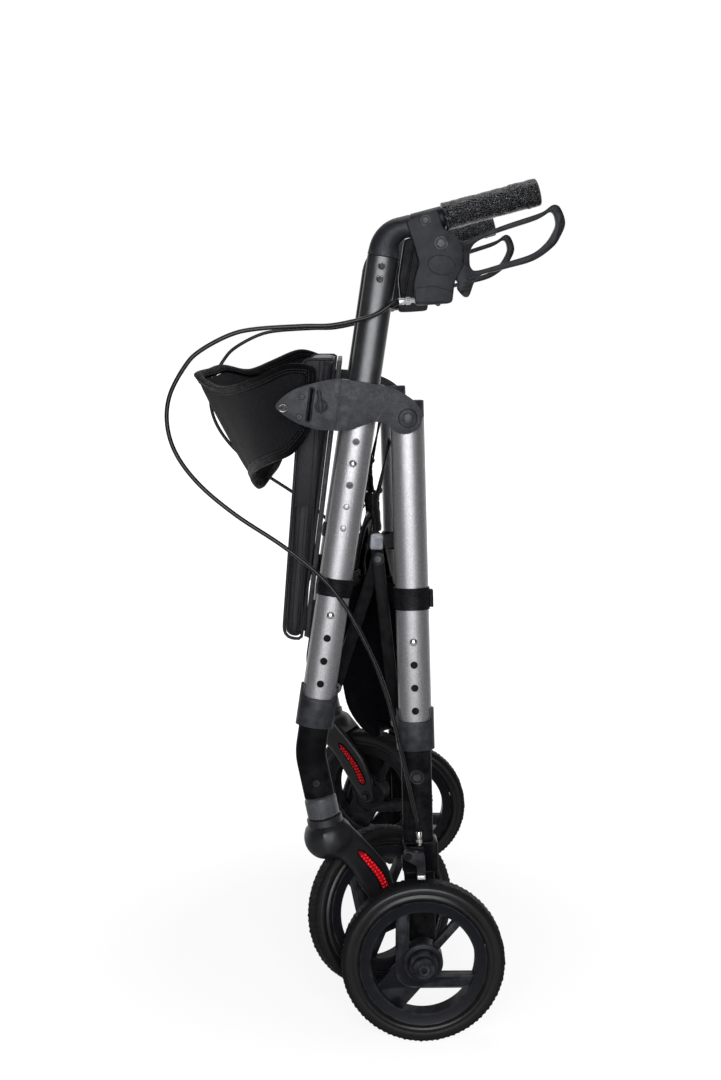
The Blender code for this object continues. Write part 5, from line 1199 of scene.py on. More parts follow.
def make_brakes(sizes):
    """Brake body with its cover, screws and cable adjuster, and the loop lever."""
    body = round_edges(slab(rounded(BODY_OUTLINE, 0.0045), -BODY_HALF, BODY_HALF), 0.0022, 3)
    ring = [section(grip_point(reach), GRIP_ANGLE, size, size) for reach, size in (
        (-0.0356, 0.0244), (-0.035, 0.0256), (-0.0014, 0.0256), (-0.0008, 0.0244))]
    body = unite(body, skin(ring))
    room = skin(elbow_rings(GAP))
    slot = slab(SLOT_OUTLINE, -0.0085, 0.0085)
    body = cut(body, room, slot)
    place_pair("brake_clamp", body, FRONT, "handle_", "satin", "brake_body")
    cover = round_edges(slab(rounded(COVER_OUTLINE, 0.006), -COVER_HALF, COVER_HALF), 0.0055, 5)
    ridge = slab(bar_outline((0.03, 0.144), (0.032, 0.204), 0.003), -COVER_HALF - 0.001,
                 -COVER_HALF + 0.001)
    cover = merge(cover, round_edges(ridge, 0.0008))
    place_pair("brake_cover", cut(cover, room), FRONT, "handle_", "glossy")
    oval = [(0.0659 + x, -BODY_HALF + 0.0001, 0.1829 + z)
            for x, z, _ in oval_ring((0.031, 0.0216), 0.0, 48)]
    lip = sweep(oval, 0.0005, 8, closed=True)
    strip = rounded([(0.0432, 0.1372), (0.0835, 0.144), (0.083, 0.156), (0.06, 0.159),
                     (0.04, 0.153)], 0.003)
    trim = round_edges(slab(strip, -BODY_HALF - 0.0012, -BODY_HALF + 0.001), 0.001, 3)
    place_pair("clamp_trim", merge(lip, trim), FRONT, "handle_", "satin")
    bolts = merge(at(ringed_bolt(0.0078, 0.0024), LEVER_PIVOT, -BODY_HALF),
                  at(ringed_bolt(0.0063, 0.002), CLAMP_SCREW, -BODY_HALF),
                  y_rod(0.003, LEVER_PIVOT, -BODY_HALF, BODY_HALF - 0.001, 20))
    place_pair("clamp_bolts", bolts, FRONT, "handle_", "zinc")
    start, end = (Vector(point) for point in ADJUSTER)
    length = (end - start).length
    barrel = turned_along([
        (0.0, 0.0), (0.003, 0.0), (0.003, length * 0.3), (0.0045, length * 0.32),
        (0.0045, length * 0.6), (0.0034, length * 0.62), (0.0034, length * 0.68),
        (0.004, length * 0.7), (0.004, length * 0.94), (0.0034, length), (0.0, length)],
        start, end)
    place_pair("lever_adjuster", barrel, FRONT, "handle_", "pale")
    root = arc(LEVER_PIVOT, 0.008, 100, 250, 10)
    outer = slab(curve(LEVER_OUTLINE, 5) + root[::-1], -LEVER_HALF, LEVER_HALF)
    inner = slab(curve(LEVER_ROOM, 5, closed=True), -0.02, 0.02)
    lever = round_edges(cut(outer, inner), 0.0013, 2, 50.0)
    eye = y_rod(EYE_BORE, LEVER_PIVOT, -0.03, 0.03)
    place_pair("loop_lever", cut(lever, eye), FRONT, "brake_lever_", "satin", "brake_lever")
    rib = rod(0.0012, (-0.0048, 0.0, -0.0022), (0.0048, 0.0, 0.0022), 12)
    ribs = row_of(rib, (0.0975, -LEVER_HALF, 0.159), (0.0013, 0.0, 0.005), 4, "satin")
    place_pair("lever_ribs", ribs, FRONT, "brake_lever_", "satin")


def make_buttons(sizes):
    stud = along_y(lathe([(0.0, -0.016), (0.0018, -0.0158), (0.0032, -0.015), (0.0039, -0.0135),
                          (0.004, -0.012), (0.004, -0.0078), (0.0, -0.0078)], 28))
    leaf = slab(box_outline((-0.003, 0.003), (-0.03, 0.005)), -0.0077, -0.0066)
    for name, local, z, body in (("handle_button", FRONT, HANDLE_HOLES[1], "handle_button_"),
                                 ("front_leg_button", FRONT, FRONT_HOLES[0], "front_button_"),
                                 ("rear_leg_button", REAR, REAR_HOLES[0], "rear_button_")):
        button = at(merge(stud, leaf), (0.0, z), 0.0)
        place_pair(f"{name}_stud", button, local, body, "steel", name)


# Front legs, casters and wheels

def make_front_legs(sizes):
    down = -math.pi / 2
    turn = STEM_LEAN + FRONT_LEAN
    rings = [section((0.0, LEG_TOP), down, *INNER, 64)]
    for point, heading in bend((0.0, LEG_BEND), down, turn, LEG_ARC, 12):
        rings.append(section(point, heading, *INNER, 64))
    end = (STEM_RUN * math.sin(turn), LEG_BEND - STEM_RUN * math.cos(turn))
    rings.append(section(end, down + turn, *INNER, 64))
    stem = FRONT.inverted() @ STEM
    place_pair("bent_leg", skin(rings), FRONT, "front_leg_", "matt", "front_leg")
    top = BUSH_LENGTH
    bush = lathe([(0.0053, -0.0001), (0.0172, 0.0), (BUSH_RADIUS, 0.0012),
                  (BUSH_RADIUS, top - 0.004), (0.0172, top - 0.0012), (0.015, top),
                  (0.0053, top)], 64, closed=True)
    place_pair("leg_bush", moved(bush, stem), FRONT, "front_leg_", "grey")
    head = at(socket_screw(0.0044, 0.0018), (0.0, top + 0.018), -INNER[1] / 2)
    place_pair("bush_screw", moved(head, stem), FRONT, "front_leg_", "zinc")


def make_casters(sizes):
    hub = (CASTER_TRAIL, -CASTER_DROP)
    around = arc(hub, 0.012, 215, 380, 16)
    outline = (curve([*FORK_LOWER, around[0]], 6)[:-1] + around
               + curve([around[-1], *FORK_UPPER, (-0.019, -0.0115)], 6)[1:])
    arms = slab(outline, -FORK_HALF, FORK_HALF)
    neck = lathe([(0.0, -0.0003), (0.0196, -0.0003), (0.0208, -0.0013), (0.0208, -0.011),
                  (0.0, -0.011)], 72)
    crown = lathe([(0.0, -0.008)] + curve(FORK_CROWN, 6), 72)
    arms = round_edges(arms, 0.0035, 3, 50.0)
    room = y_rod(FORK_CLEARANCE, hub, -FORK_INSIDE, FORK_INSIDE, 128)
    fork = cut(moulded(merge(arms, crown), 0.0016, 34), room)
    place_pair("fork", fork, CASTER, "caster_", "fork", "caster_fork", sharp=34.0)
    pin = rod(0.005, (0.0, 0.0, -0.01), (0.0, 0.0, BUSH_LENGTH - 0.001), 24)
    place_pair("fork_neck", merge(neck, pin), CASTER, "caster_", "fork")
    outer = at(ringed_bolt(0.0078, 0.004), hub, -FORK_HALF)
    inner = moved(ringed_bolt(0.0074, 0.004), Matrix.Rotation(math.pi, 4, "Z"))
    inner = at(inner, hub, FORK_HALF)
    axle = y_rod(PIN_RADIUS, hub, -FORK_HALF, FORK_HALF)
    place_pair("fork_axle", merge(outer, inner, axle), CASTER, "caster_", "zinc")
    plate_outline = curve(REFLECTOR, 3, closed=True)
    for name, face, out in (("outer", -FORK_HALF, -1.0), ("inner", FORK_HALF, 1.0)):
        low, high = sorted((face - out * 0.0008, face + out * 0.0005))
        plate = slab(plate_outline, low, high)
        level = face + out * 0.0006
        long_edges = [spline(line, 8) for line in (REFLECTOR[1:4],
                                                   [REFLECTOR[k] for k in (0, 5, 4)])]
        seats = []
        for share in (0.26, 0.74):
            row = [a.lerp(b, share) for a, b in zip(*long_edges)]
            count = round(sum((b - a).length for a, b in zip(row, row[1:])) / sizes.bead_pitch)
            seats += [(p[0], level, p[1]) for p in even_line(row, count)[1:-1]]
        grid = bpy.data.meshes.new("seats")
        grid.from_pydata(seats, [], [])
        beads = grown(TREES["bead"], grid, Radius=0.0021, Material=FINISHES["red"])
        rim = sweep([(px, face + out * 0.0003, pz) for px, pz in plate_outline], 0.0011, 10,
                    closed=True)
        place_pair(f"{name}_reflector", beads, CASTER, "caster_", "red")
        place_pair(f"{name}_reflector_back", plate, CASTER, "caster_", "backing")
        place_pair(f"{name}_reflector_rim", rim, CASTER, "caster_", "glossy")


def tyre_mesh():
    mesh = along_y(lathe(TYRE_PROFILE, 144, closed=True))
    mesh.materials.append(FINISHES["sidewall"])
    mesh.materials.append(FINISHES["tread"])
    for face in mesh.polygons:
        across = math.hypot(face.center.x, face.center.z)
        face.material_index = 1 if across > 0.0895 else 0
    return mesh


def rim_mesh(hub, edge):
    """Rim ring, an L-shaped ribbon, a narrow spoke, a wide web and the stepped hub."""
    ring = along_y(lathe(RIM_PROFILE, 128, closed=True))
    reach, wide, inside = 0.064, -0.031, -0.0165
    corner = arc((wide + 0.02, wide + 0.02), 0.02, 180, 270, 12)
    ribbon = ([(wide, reach)] + corner + [(reach, wide), (reach, inside), (inside, inside),
                                          (inside, reach)])
    lip = [(wide + 0.001, reach)] + [(px + 0.0007, pz + 0.0007) for px, pz in corner]
    lip += [(reach, wide + 0.001)]
    round_in = arc((inside + 0.006, inside + 0.006), 0.0068, 180, 270, 8)
    inner_lip = [(inside - 0.0008, reach)] + round_in + [(reach, inside - 0.0008)]
    lips = [sweep([(px, y, pz) for px, pz in line], 0.0013, 8) for line in (lip, inner_lip)
            for y in (-0.0062, 0.0062)]

    def spoke(heading, start, width, low, high):
        outline = box_outline((start, reach), (-width / 2, width / 2))
        return moved(slab(outline, low, high), Matrix.Rotation(-math.radians(heading), 4, "Y"))

    web = spoke(229, 0.01, 0.04, -0.002, 0.005)
    body = unite(along_y(lathe(hub, 72)), slab(ribbon, -0.006, 0.006),
                 spoke(49, 0.01, 0.009, -0.005, 0.005), web)
    body = round_edges(body, edge, 2, 50.0)
    bore = y_rod(PIN_BORE, (0.0, 0.0), -0.05, 0.05)
    return merge(ring, cut(body, bore), *lips)


def make_wheels(sizes):
    for name, local, hub, body in (("front", FRONT_WHEEL, FRONT_HUB, "front_wheel_"),
                                   ("rear", REAR_WHEEL, REAR_HUB, "rear_wheel_")):
        place_pair(f"{name}_tyre_skin", tyre_mesh(), local, body, "sidewall", f"{name}_tyre")
        bars = [grown(TREES["tread"], Radius=0.0938, Count=sizes.tread_bars, Height=height,
                      Bar=TREAD_BAR, Slant=(slant, 0.0, 0.0), Material=FINISHES["tread"])
                for height, slant in ((-0.0042, 0.6), (0.0042, -0.6))]
        place_pair(f"{name}_tread", along_y(merge(*bars)), local, body, "tread")
        place_pair(f"{name}_rim_casting", rim_mesh(hub, 0.0007), local, body, "satin",
                   f"{name}_rim")


# Rear legs and brakes at the wheels

def make_rear_legs(sizes):
    leg = oval_shell(INNER, INNER_WALL, *REAR_LEG)
    foot = oval_solid(INNER, REAR_LEG[0] - 0.002, REAR_LEG[0] + 0.001, 0.0008)
    place_pair("straight_leg", merge(leg, foot), REAR, "rear_leg_", "matt", "rear_leg")
    hub = (0.0, -REAR_REACH)
    face = -INNER[1] / 2
    nose = REAR_WHEEL_Y - HUB_NOSE - GAP
    head = at(socket_screw(0.0075, 0.0038), hub, nose)
    nut = round_edges(y_rod(0.0072, hub, -face, -face + 0.006, 6), 0.0005, 2, 50.0)
    spacer = y_rod(0.0085, hub, REAR_WHEEL_Y + HUB_BACK + GAP, face + 0.001, 40)
    axle = y_rod(PIN_RADIUS, hub, nose, -face + 0.008)
    place_pair("rear_axle", merge(head, nut, spacer, axle), REAR, "rear_leg_", "zinc")
    clip = at(ringed_bolt(0.0088, 0.0032), (0.0, REAR_CLIP), face)
    place_pair("leg_clip", clip, REAR, "rear_leg_", "zinc")


def rounded_box(x, z, y, corner, edge):
    """Block with rounded corners, given its ends along X, Z and Y."""
    points = []
    for cx, cz, start in ((x[1] - corner, z[1] - corner, 0), (x[0] + corner, z[1] - corner, 90),
                          (x[0] + corner, z[0] + corner, 180), (x[1] - corner, z[0] + corner, 270)):
        points += arc((cx, cz), corner, start, start + 90, 5)
    return round_edges(slab(points, *y), edge, 2, 50.0)


def make_wheel_brakes(sizes):
    top, step, bottom = HOUSING
    edge = 0.0016
    upper = rounded_box((-0.02, 0.022), (step, top), HOUSING_Y, 0.004, edge)
    lower = rounded_box((-0.018, 0.017), (bottom, step + 0.002), HOUSING_Y, 0.003, edge)
    shelf = rounded_box((-0.0188, 0.006), (-0.511, top - 0.0011),
                        (ADJUSTER_Y - 0.0065, -0.012), 0.0045, edge)
    room = oval_solid(INNER, bottom - 0.01, top + 0.01, grow=GAP)
    body = cut(unite(upper, lower, shelf), room)
    place_pair("brake_block", body, REAR, "rear_leg_", "glossy", "brake_housing")
    foot = (0.0, ADJUSTER_Y, top - 0.002)
    barrel = turned_along([
        (0.0, 0.0), (0.0028, 0.0), (0.0028, 0.0035), (0.004, 0.004), (0.004, 0.0078),
        (0.0027, 0.0084), (0.0027, 0.0098), (0.0034, 0.0104), (0.0034, 0.0155), (0.0028, 0.017),
        (0.0, 0.017)], foot, (0.0, ADJUSTER_Y, ADJUSTER_HIGH), 24)
    near, far = REAR_WHEEL_Y - SHOE_HALF, REAR_WHEEL_Y + SHOE_HALF
    reach = near - GAP
    pin = y_rod(0.003, SHOE_PIVOT, reach - 0.001, HOUSING_Y[0] + 0.001, 20)
    head = at(socket_screw(0.0042, 0.002), SHOE_PIVOT, reach)
    place_pair("wheel_adjuster", barrel, REAR, "rear_leg_", "steel")
    place_pair("shoe_pin", merge(pin, head), REAR, "rear_leg_", "matt")
    tread = (WHEEL_RADIUS * 2 - REAR.translation.z) / math.cos(REAR_LEAN)
    pad_low, pad_top = tread + 0.002, tread + 0.006
    root = arc(SHOE_PIVOT, 0.0055, 80, 235, 14)
    high = SHOE_PIVOT[1]
    outline = [(0.005, pad_top + GAP), (0.0056, high - 0.01), (0.0046, high + 0.001), *root,
               (-0.0046, high - 0.012), (-0.0036, pad_top + GAP)]
    arm = round_edges(slab(outline, near, far), 0.0008, 2, 50.0)
    arm = cut(arm, y_rod(EYE_BORE, SHOE_PIVOT, -0.06, -0.01))
    pad = slab(box_outline((-0.004, 0.0052), (pad_low, pad_top + 0.001)), near, far)
    pad = round_edges(pad, 0.0008, 2, 50.0)
    place_pair("shoe_arm", arm, REAR, "brake_shoe_", "satin", "brake_shoe")
    place_pair("shoe_pad", pad, REAR, "brake_shoe_", "pale")


# Cross tubes and fold brace

def cross_tube(point, radius, half):
    return y_rod(radius, point, -half, half, 48)


def lug(pin, tube, outer, y_pin):
    flat = slab(bar_outline(tube, pin, LINK_WIDTH), -outer, -outer + LUG_SHEET)
    flat = round_edges(flat, 0.0006)
    shaft = y_rod(PIN_RADIUS, pin, -outer + 0.001, -y_pin)
    head = at(ringed_bolt(0.0068, 0.003), pin, -outer)
    return merge(flat, shaft, head)


def make_cross_tubes(sizes):
    rod_half = HALF_TRACK - TUBE[1] / 2 - GAP
    place("seat_axle", cross_tube((SEAT_X, SEAT_Z), 0.008, rod_half), "front_frame", "black",
          ("seat_rod",))
    half = HALF_TRACK - COLLAR[1] / 2 - GAP
    rear_inner = LINK_INNER_Y + LINK_SHEET + 0.001
    front_outer = LINK_INNER_Y + LINK_SHEET + GAP + LUG_SHEET
    rear_outer = rear_inner + LINK_SHEET + GAP + LUG_SHEET
    front_lug = lug(BRACE_FRONT, FRONT_CROSS, front_outer, LINK_INNER_Y - 0.003)
    rear_lug = lug(BRACE_REAR, REAR_CROSS, rear_outer, rear_inner - 0.003)
    for name, point, tab, body in (("front", FRONT_CROSS, front_lug, "front_frame"),
                                   ("rear", REAR_CROSS, rear_lug, "rear_frame")):
        bar = merge(cross_tube(point, CROSS_RADIUS, half), tab, mirrored(tab))
        place(f"{name}_cross_tube", bar, body, "black", (f"{name}_crossbar",))


def make_brace(sizes):
    outer = -LINK_INNER_Y - LINK_SHEET
    first = math.atan2(KNUCKLE[1] - BRACE_FRONT[1], KNUCKLE[0] - BRACE_FRONT[0])
    second = math.atan2(BRACE_TAB[1] - KNUCKLE[1], BRACE_TAB[0] - KNUCKLE[0])
    middle = (first + second) / 2
    reach = LINK_WIDTH / 2 / math.cos((second - first) / 2)
    left = (KNUCKLE[0] - reach * math.sin(middle), KNUCKLE[1] + reach * math.cos(middle))
    right = (KNUCKLE[0] + reach * math.sin(middle), KNUCKLE[1] - reach * math.cos(middle))
    turn, far = math.degrees(first), math.degrees(second)
    outline = (arc(BRACE_FRONT, LINK_WIDTH / 2, turn + 90, turn + 270, 12) + [right]
               + arc(BRACE_TAB, LINK_WIDTH / 2, far - 90, far + 90, 12) + [left])
    link = round_edges(slab(outline, outer, -LINK_INNER_Y), 0.0008)
    knuckle_rod = cross_tube(KNUCKLE, ROD_RADIUS, LINK_INNER_Y + 0.001)
    place("brace_front_links", merge(link, mirrored(link), knuckle_rod), "brace_front", "matt",
          ("brace_links_front",))
    block = rounded([(0.009, 0.564), (0.0235, 0.564), (0.0245, 0.58), (0.019, 0.5838),
                     (0.0095, 0.5825)], 0.003)
    block = round_edges(slab(block, outer - 0.005, outer + 0.0005), 0.001, 3)
    ridge = [(0.01, 0.58), (0.0225, 0.5812), (0.0222, 0.5826), (0.01, 0.5815)]
    ridge = round_edges(slab(ridge, outer - 0.0062, outer - 0.004), 0.0005)
    place_pair("knuckle_block", merge(block, ridge), WORLD, "brace_front", "block")
    inner = outer - 0.001
    outer = inner - LINK_SHEET
    link = round_edges(slab(bar_outline(BRACE_REAR, KNUCKLE, LINK_WIDTH), outer, inner), 0.0008)
    head = at(ringed_bolt(0.0068, 0.0032), KNUCKLE, outer)
    place_pair("rear_link", link, WORLD, "brace_rear", "matt", "brace_link_rear")
    ring = at(screw_ring(0.0076, 0.003), KNUCKLE, outer)
    place_pair("knuckle_bolt", merge(head, ring), WORLD, "brace_rear", "zinc")


# Seat

def seat_faces(z):
    return -0.0558 + 0.0748 * z, -0.0214 + 0.122 * z


def seat_side(inset):
    """Closed line round the cushion's side, in X and Z from the hinge, drawn in by an inset."""
    low, high = SEAT_ENDS[0] + inset, SEAT_ENDS[1] - inset
    corners = [(seat_faces(low)[1] - SEAT_BOARD - GAP - inset, low),
               (seat_faces(high)[1] - SEAT_BOARD - GAP - inset, high),
               (seat_faces(high)[0] + inset, high), (seat_faces(low)[0] + inset, low)]
    radii = (0.003, 0.003, 0.01, 0.016)
    points = []
    for k, (x, z) in enumerate(corners):
        before, after = Vector(corners[k - 1]), Vector(corners[(k + 1) % 4])
        here = Vector((x, z))
        towards, away = (before - here).normalized(), (after - here).normalized()
        first, last = here + towards * radii[k], here + away * radii[k]
        for j in range(7):
            t = j / 6
            points.append((1 - t) ** 2 * first + 2 * t * (1 - t) * here + t * t * last)
    return points


def cushion_mesh():
    """Closed block between the two side seams, with its ends a little drawn in."""
    rings = []
    steps = 56
    for k in range(steps + 1):
        share = -1.0 + 2.0 * k / steps
        drawn = max(0.0, (abs(share) - 0.955) / 0.045)
        inset = 0.0022 + 0.0025 * drawn * drawn
        loop = even_line(seat_side(inset), 96, closed=True)
        rings.append([(p[0], share * (SEAT_HALF - 0.0012), p[1]) for p in loop])
    return skin(rings)


def inflate(mesh, pinned, pressure, most):
    """Padding by cloth pressure: the seams stay and the rest swells by at most so much."""
    item = bench(modified(mesh, "REMESH", mode="VOXEL", voxel_size=CUSHION_GRAIN))
    start = [vertex.co.copy() for vertex in item.data.vertices]
    group = item.vertex_groups.new(name="seam")
    for vertex in item.data.vertices:
        held = pinned(vertex.co)
        if held > 0.0:
            group.add([vertex.index], held, "REPLACE")
    cloth = item.modifiers.new("padding", "CLOTH")
    cloth.settings.use_pressure = True
    cloth.settings.uniform_pressure_force = pressure
    cloth.settings.effector_weights.gravity = 0.0
    cloth.settings.vertex_group_mass = "seam"
    cloth.settings.tension_stiffness = 30.0
    cloth.settings.compression_stiffness = 30.0
    cloth.settings.bending_stiffness = 1.5
    scene = bpy.context.scene
    for number in range(1, CUSHION_FRAMES + 1):
        scene.frame_set(number)
    swollen = evaluated(item)
    scene.frame_set(1)
    for vertex, before in zip(swollen.vertices, start):
        shift = vertex.co - before
        if shift.length > most:
            vertex.co = before + shift.normalized() * most
    return swollen


def side_line(step, low, high, side, lift, count=60):
    """Upright line on the cushion's side, at a distance behind its front face."""
    line = []
    for k in range(count):
        z = low + (high - low) * k / (count - 1)
        line.append((seat_faces(z)[0] + step, side * (SEAT_HALF - 0.0008 + lift), z))
    return line


def make_seat(sizes):
    local = Matrix.Translation((SEAT_X, 0.0, SEAT_Z))
    block = cushion_mesh()
    def pinned(point):
        from_side = SEAT_HALF - abs(point.y)
        on_board = point.x > seat_faces(point.z)[1] - SEAT_BOARD - 0.005
        return 1.0 if on_board or from_side < 0.006 else max(0.0, 0.9 - from_side / 0.03)
    block = inflate(block, pinned, 3.0, sizes.cushion_rise)
    block = modified(block, "SUBSURF", levels=1, render_levels=1)
    cushion = place("seat_pad", moved(block, local), "seat", "leatherette", ("seat_cushion",),
                    sharp=50.0)
    pipes, threads, panels = [], [], []
    low, split, high = SEAT_ENDS[0] + 0.012, SEAT_PANEL_END, SEAT_ENDS[1] - 0.004
    for side in (-1.0, 1.0):
        seam = even_line(seat_side(0.0026), 160, closed=True)
        y = side * (SEAT_HALF - 0.0008)
        pipes.append(sweep([(p[0], y, p[1]) for p in seam], sizes.piping_radius, 10, closed=True))
        for step, radius in ((0.0225, 0.0013), (0.0275, 0.0013)):
            pipes.append(sweep(side_line(step, low, high, side, 0.0002), radius, 8))
        for step in (0.007, 0.012, 0.018):
            threads.append(stitched(side_line(step, low, split - 0.002, side, 0.0008),
                                    "dark_thread", sizes))
        corners = [(seat_faces(z)[0] + step, z) for step, z in (
            (0.0046, split), (0.0046, high), (0.029, high), (0.029, split))]
        faces = sorted((side * (SEAT_HALF + 0.0004), side * (SEAT_HALF - 0.003)))
        panels.append(round_edges(slab(corners, *faces), 0.0008))
        edge = [(seat_faces(z)[0] + step, side * (SEAT_HALF + 0.0005), z) for step, z in (
            (0.0068, high - 0.004), (0.0068, split + 0.003), (0.0275, split + 0.003))]
        threads.append(stitched(edge, "dark_thread", sizes))
    place("seat_side_panels", moved(merge(*panels), local), "seat", "leatherette")
    place("seat_piping", moved(merge(*pipes), local), "seat", "leatherette")
    place("seat_stitches", moved(merge(*threads), local), "seat", "dark_thread")
    ends = (SEAT_ENDS[0] + 0.004, SEAT_ENDS[1] - 0.004)
    outline = [(seat_faces(z)[1], z) for z in ends]
    outline += [(seat_faces(z)[1] - SEAT_BOARD, z) for z in reversed(ends)]
    board = round_edges(slab(outline, -SEAT_HALF + 0.004, SEAT_HALF - 0.004), 0.0012)
    radius = 0.013
    ears = []
    for y in (-SEAT_EAR_Y, SEAT_EAR_Y):
        ear = [(seat_faces(-radius)[1] - 0.002, -radius), (0.0, -radius)]
        ear += arc((0.0, 0.0), radius, -67.5, 67.5, 14)
        ear += [(0.0, radius), (seat_faces(radius)[1] - 0.002, radius)]
        ears.append(slab(ear, y - 0.004, y + 0.004))
    board = unite(board, merge(*ears))
    board = cut(board, y_rod(0.0083, (0.0, 0.0), -0.25, 0.25, 40))
    place("seat_base", moved(board, local), "seat", "charcoal", ("seat_board",))


# Backrest

def backrest_lines(steps=8):
    """Top and foot points along the backrest, with the direction away from the user."""
    tops = spline([Vector((row[1], row[0] * BACKREST_HALF, row[2])) for row in BACKREST], steps)
    feet = spline([Vector((row[3], row[0] * BACKREST_HALF, row[4])) for row in BACKREST], steps)
    shift = Vector((REAR_AXLE_X, 0.0, 0.0))
    stations = []
    for k, (top, foot) in enumerate(zip(tops, feet)):
        before, after = max(k - 1, 0), min(k + 1, len(tops) - 1)
        run = (tops[after] + feet[after] - tops[before] - feet[before]).normalized()
        outward = run.cross(top - foot).normalized()
        if outward.x > 0:
            outward.negate()
        stations.append((top + shift, foot + shift, outward))
    return stations


def binding_path(stations):
    """Line round the backrest's rim, with its inward and outward directions."""
    rim = [(top, outward) for top, foot, outward in stations]
    last_top, last_foot, last_out = stations[-1]
    first_top, first_foot, first_out = stations[0]
    for k in range(1, 9):
        rim.append((last_top.lerp(last_foot, k / 9), last_out))
    rim += [(foot, outward) for top, foot, outward in reversed(stations)]
    for k in range(1, 9):
        rim.append((first_foot.lerp(first_top, k / 9), first_out))
    for turn in range(3):
        rim = [((rim[k - 1][0] + 2 * rim[k][0] + rim[(k + 1) % len(rim)][0]) / 4, rim[k][1])
               for k in range(len(rim))]
    middle = sum((point for point, outward in rim), Vector()) / len(rim)
    found = []
    for k, (point, outward) in enumerate(rim):
        along = (rim[(k + 1) % len(rim)][0] - rim[k - 1][0]).normalized()
        inward = outward.cross(along).normalized()
        found.append((point, inward, outward))
    way = sum(inward.dot(middle - point) for point, inward, outward in found)
    if way < 0:
        found = [(point, -inward, outward) for point, inward, outward in found]
    return found


def make_backrest(sizes):
    stations = backrest_lines()
    face = [(0.075, 0.5), (0.09, 0.7), (0.15, 0.88), (0.26, 1.0), (0.38, 1.03), (0.5, 1.04),
            (0.62, 1.03), (0.74, 1.0), (0.85, 0.88), (0.91, 0.7), (0.925, 0.5)]
    rings = []
    for k, (top, foot, outward) in enumerate(stations[4:-4]):
        swell = 1.0 + 0.12 * noise.noise(Vector((k * 0.13, 4.0, 0.0)))
        front = [foot.lerp(top, share) + outward * (0.0043 * swell * part) for share, part in face]
        back = [foot.lerp(top, share) - outward * (0.0043 * part) for share, part in reversed(face)]
        rings.append(front + back)
    pad = place("backrest_panel", skin(rings), "front_frame", "neoprene", ("backrest_pad",),
                sharp=SOFT_ANGLE)
    rim = binding_path(stations)
    across = ((-0.0002, 0.0), (0.0002, 0.62), (0.0014, 0.94), (0.004, 1.06), (0.008, 1.02),
              (0.0108, 0.96), (0.0122, 0.72), (0.0124, 0.4))
    rows = ((0.0066, 1.0), (0.0096, 1.0), (0.0066, -1.0), (0.0096, -1.0))
    rings, seams = [], [[] for row in rows]
    for point, inward, outward in rim:
        flare = 0.0034 * abs(inward.z) ** 2
        ring = []
        for way, order in ((1.0, across), (-1.0, across[::-1])):
            for reach, part in order:
                bent = flare * max(0.0, 1.0 - reach / 0.009) ** 2
                ring.append(point + inward * reach + outward * (way * 0.0044 * part + bent))
        rings.append(ring)
        for seam, (reach, way) in zip(seams, rows):
            bent = flare * max(0.0, 1.0 - reach / 0.009) ** 2
            seam.append(point + inward * reach + outward * (way * 0.0046 + bent))
    place("backrest_binding", skin(rings, closed=True), "front_frame", "tape",
          sharp=SOFT_ANGLE)
    threads = [stitched(seam, "thread", sizes, closed=True) for seam in seams]
    place("backrest_stitches", merge(*threads), "front_frame", "thread")


# Bag, bands and straps

def bag_ring(share, fold):
    """Front, foot and back of the bag at a share of its width, down and up again."""
    half = BAG_RING_HALF
    front = even_line(spline(BAG_FRONT, 8), half + 1)
    back = even_line(spline(BAG_BACK, 8), half + 1)
    ring = front + back[::-1][1:]
    found = []
    for k, point in enumerate(ring):
        down = 1.0 - abs(k - half) / half
        sign = -1.0 if k < half else 1.0
        loose = noise.noise(Vector((share * 3.4, down * 3.0, sign))) * 1.3
        loose += noise.noise(Vector((share * 7.0, down * 7.0, 5.0 + sign))) * 0.6
        free = min(1.0, down * 3.0) * (1.0 - 0.6 * max(0.0, down - 0.85) / 0.15)
        sag = 0.01 * (1.0 - share * share) * down * down
        x = point[0] + fold * loose * free * (0.45 if k < half else 0.35)
        found.append(Vector((x, share * BAG_HALF, point[1] - sag)))
    return found


def bag_mesh(fold):
    """Open cloth shell of two lobes, with a gusset folded in at each end."""
    shape = bmesh.new()
    columns, half = 60, BAG_RING_HALF
    grid = [[shape.verts.new(point) for point in bag_ring(-1.0 + 2.0 * k / columns, fold)]
            for k in range(columns + 1)]
    for first, second in zip(grid, grid[1:]):
        for k in range(2 * half):
            shape.faces.new((first[k], first[k + 1], second[k + 1], second[k]))
    for end, out in ((grid[0], -1.0), (grid[-1], 1.0)):
        lines = [end]
        for t in (0.25, 0.5, 0.75, 1.0):
            line = []
            for k, vertex in enumerate(end):
                if k == half:
                    line.append(vertex)
                    continue
                if t == 1.0 and k > half:
                    line.append(line[2 * half - k])
                    continue
                middle = (vertex.co + end[2 * half - k].co) / 2
                tuck = 0.03 * t * min(1.0, abs(k - half) / 8)
                crease = 0.0016 * noise.noise(Vector((k * 0.31, t * 3.0, out)))
                point = vertex.co.lerp(middle, t) + Vector((crease, -out * tuck, 0.0))
                line.append(shape.verts.new(point))
            lines.append(line)
        for first, second in zip(lines, lines[1:]):
            for k in range(2 * half):
                corners = list(dict.fromkeys((first[k], first[k + 1], second[k + 1], second[k])))
                if len(corners) > 2:
                    shape.faces.new(corners)
    bmesh.ops.recalc_face_normals(shape, faces=shape.faces)
    return modified(to_mesh(shape), "SOLIDIFY", thickness=CLOTH_SHEET, offset=-1.0)


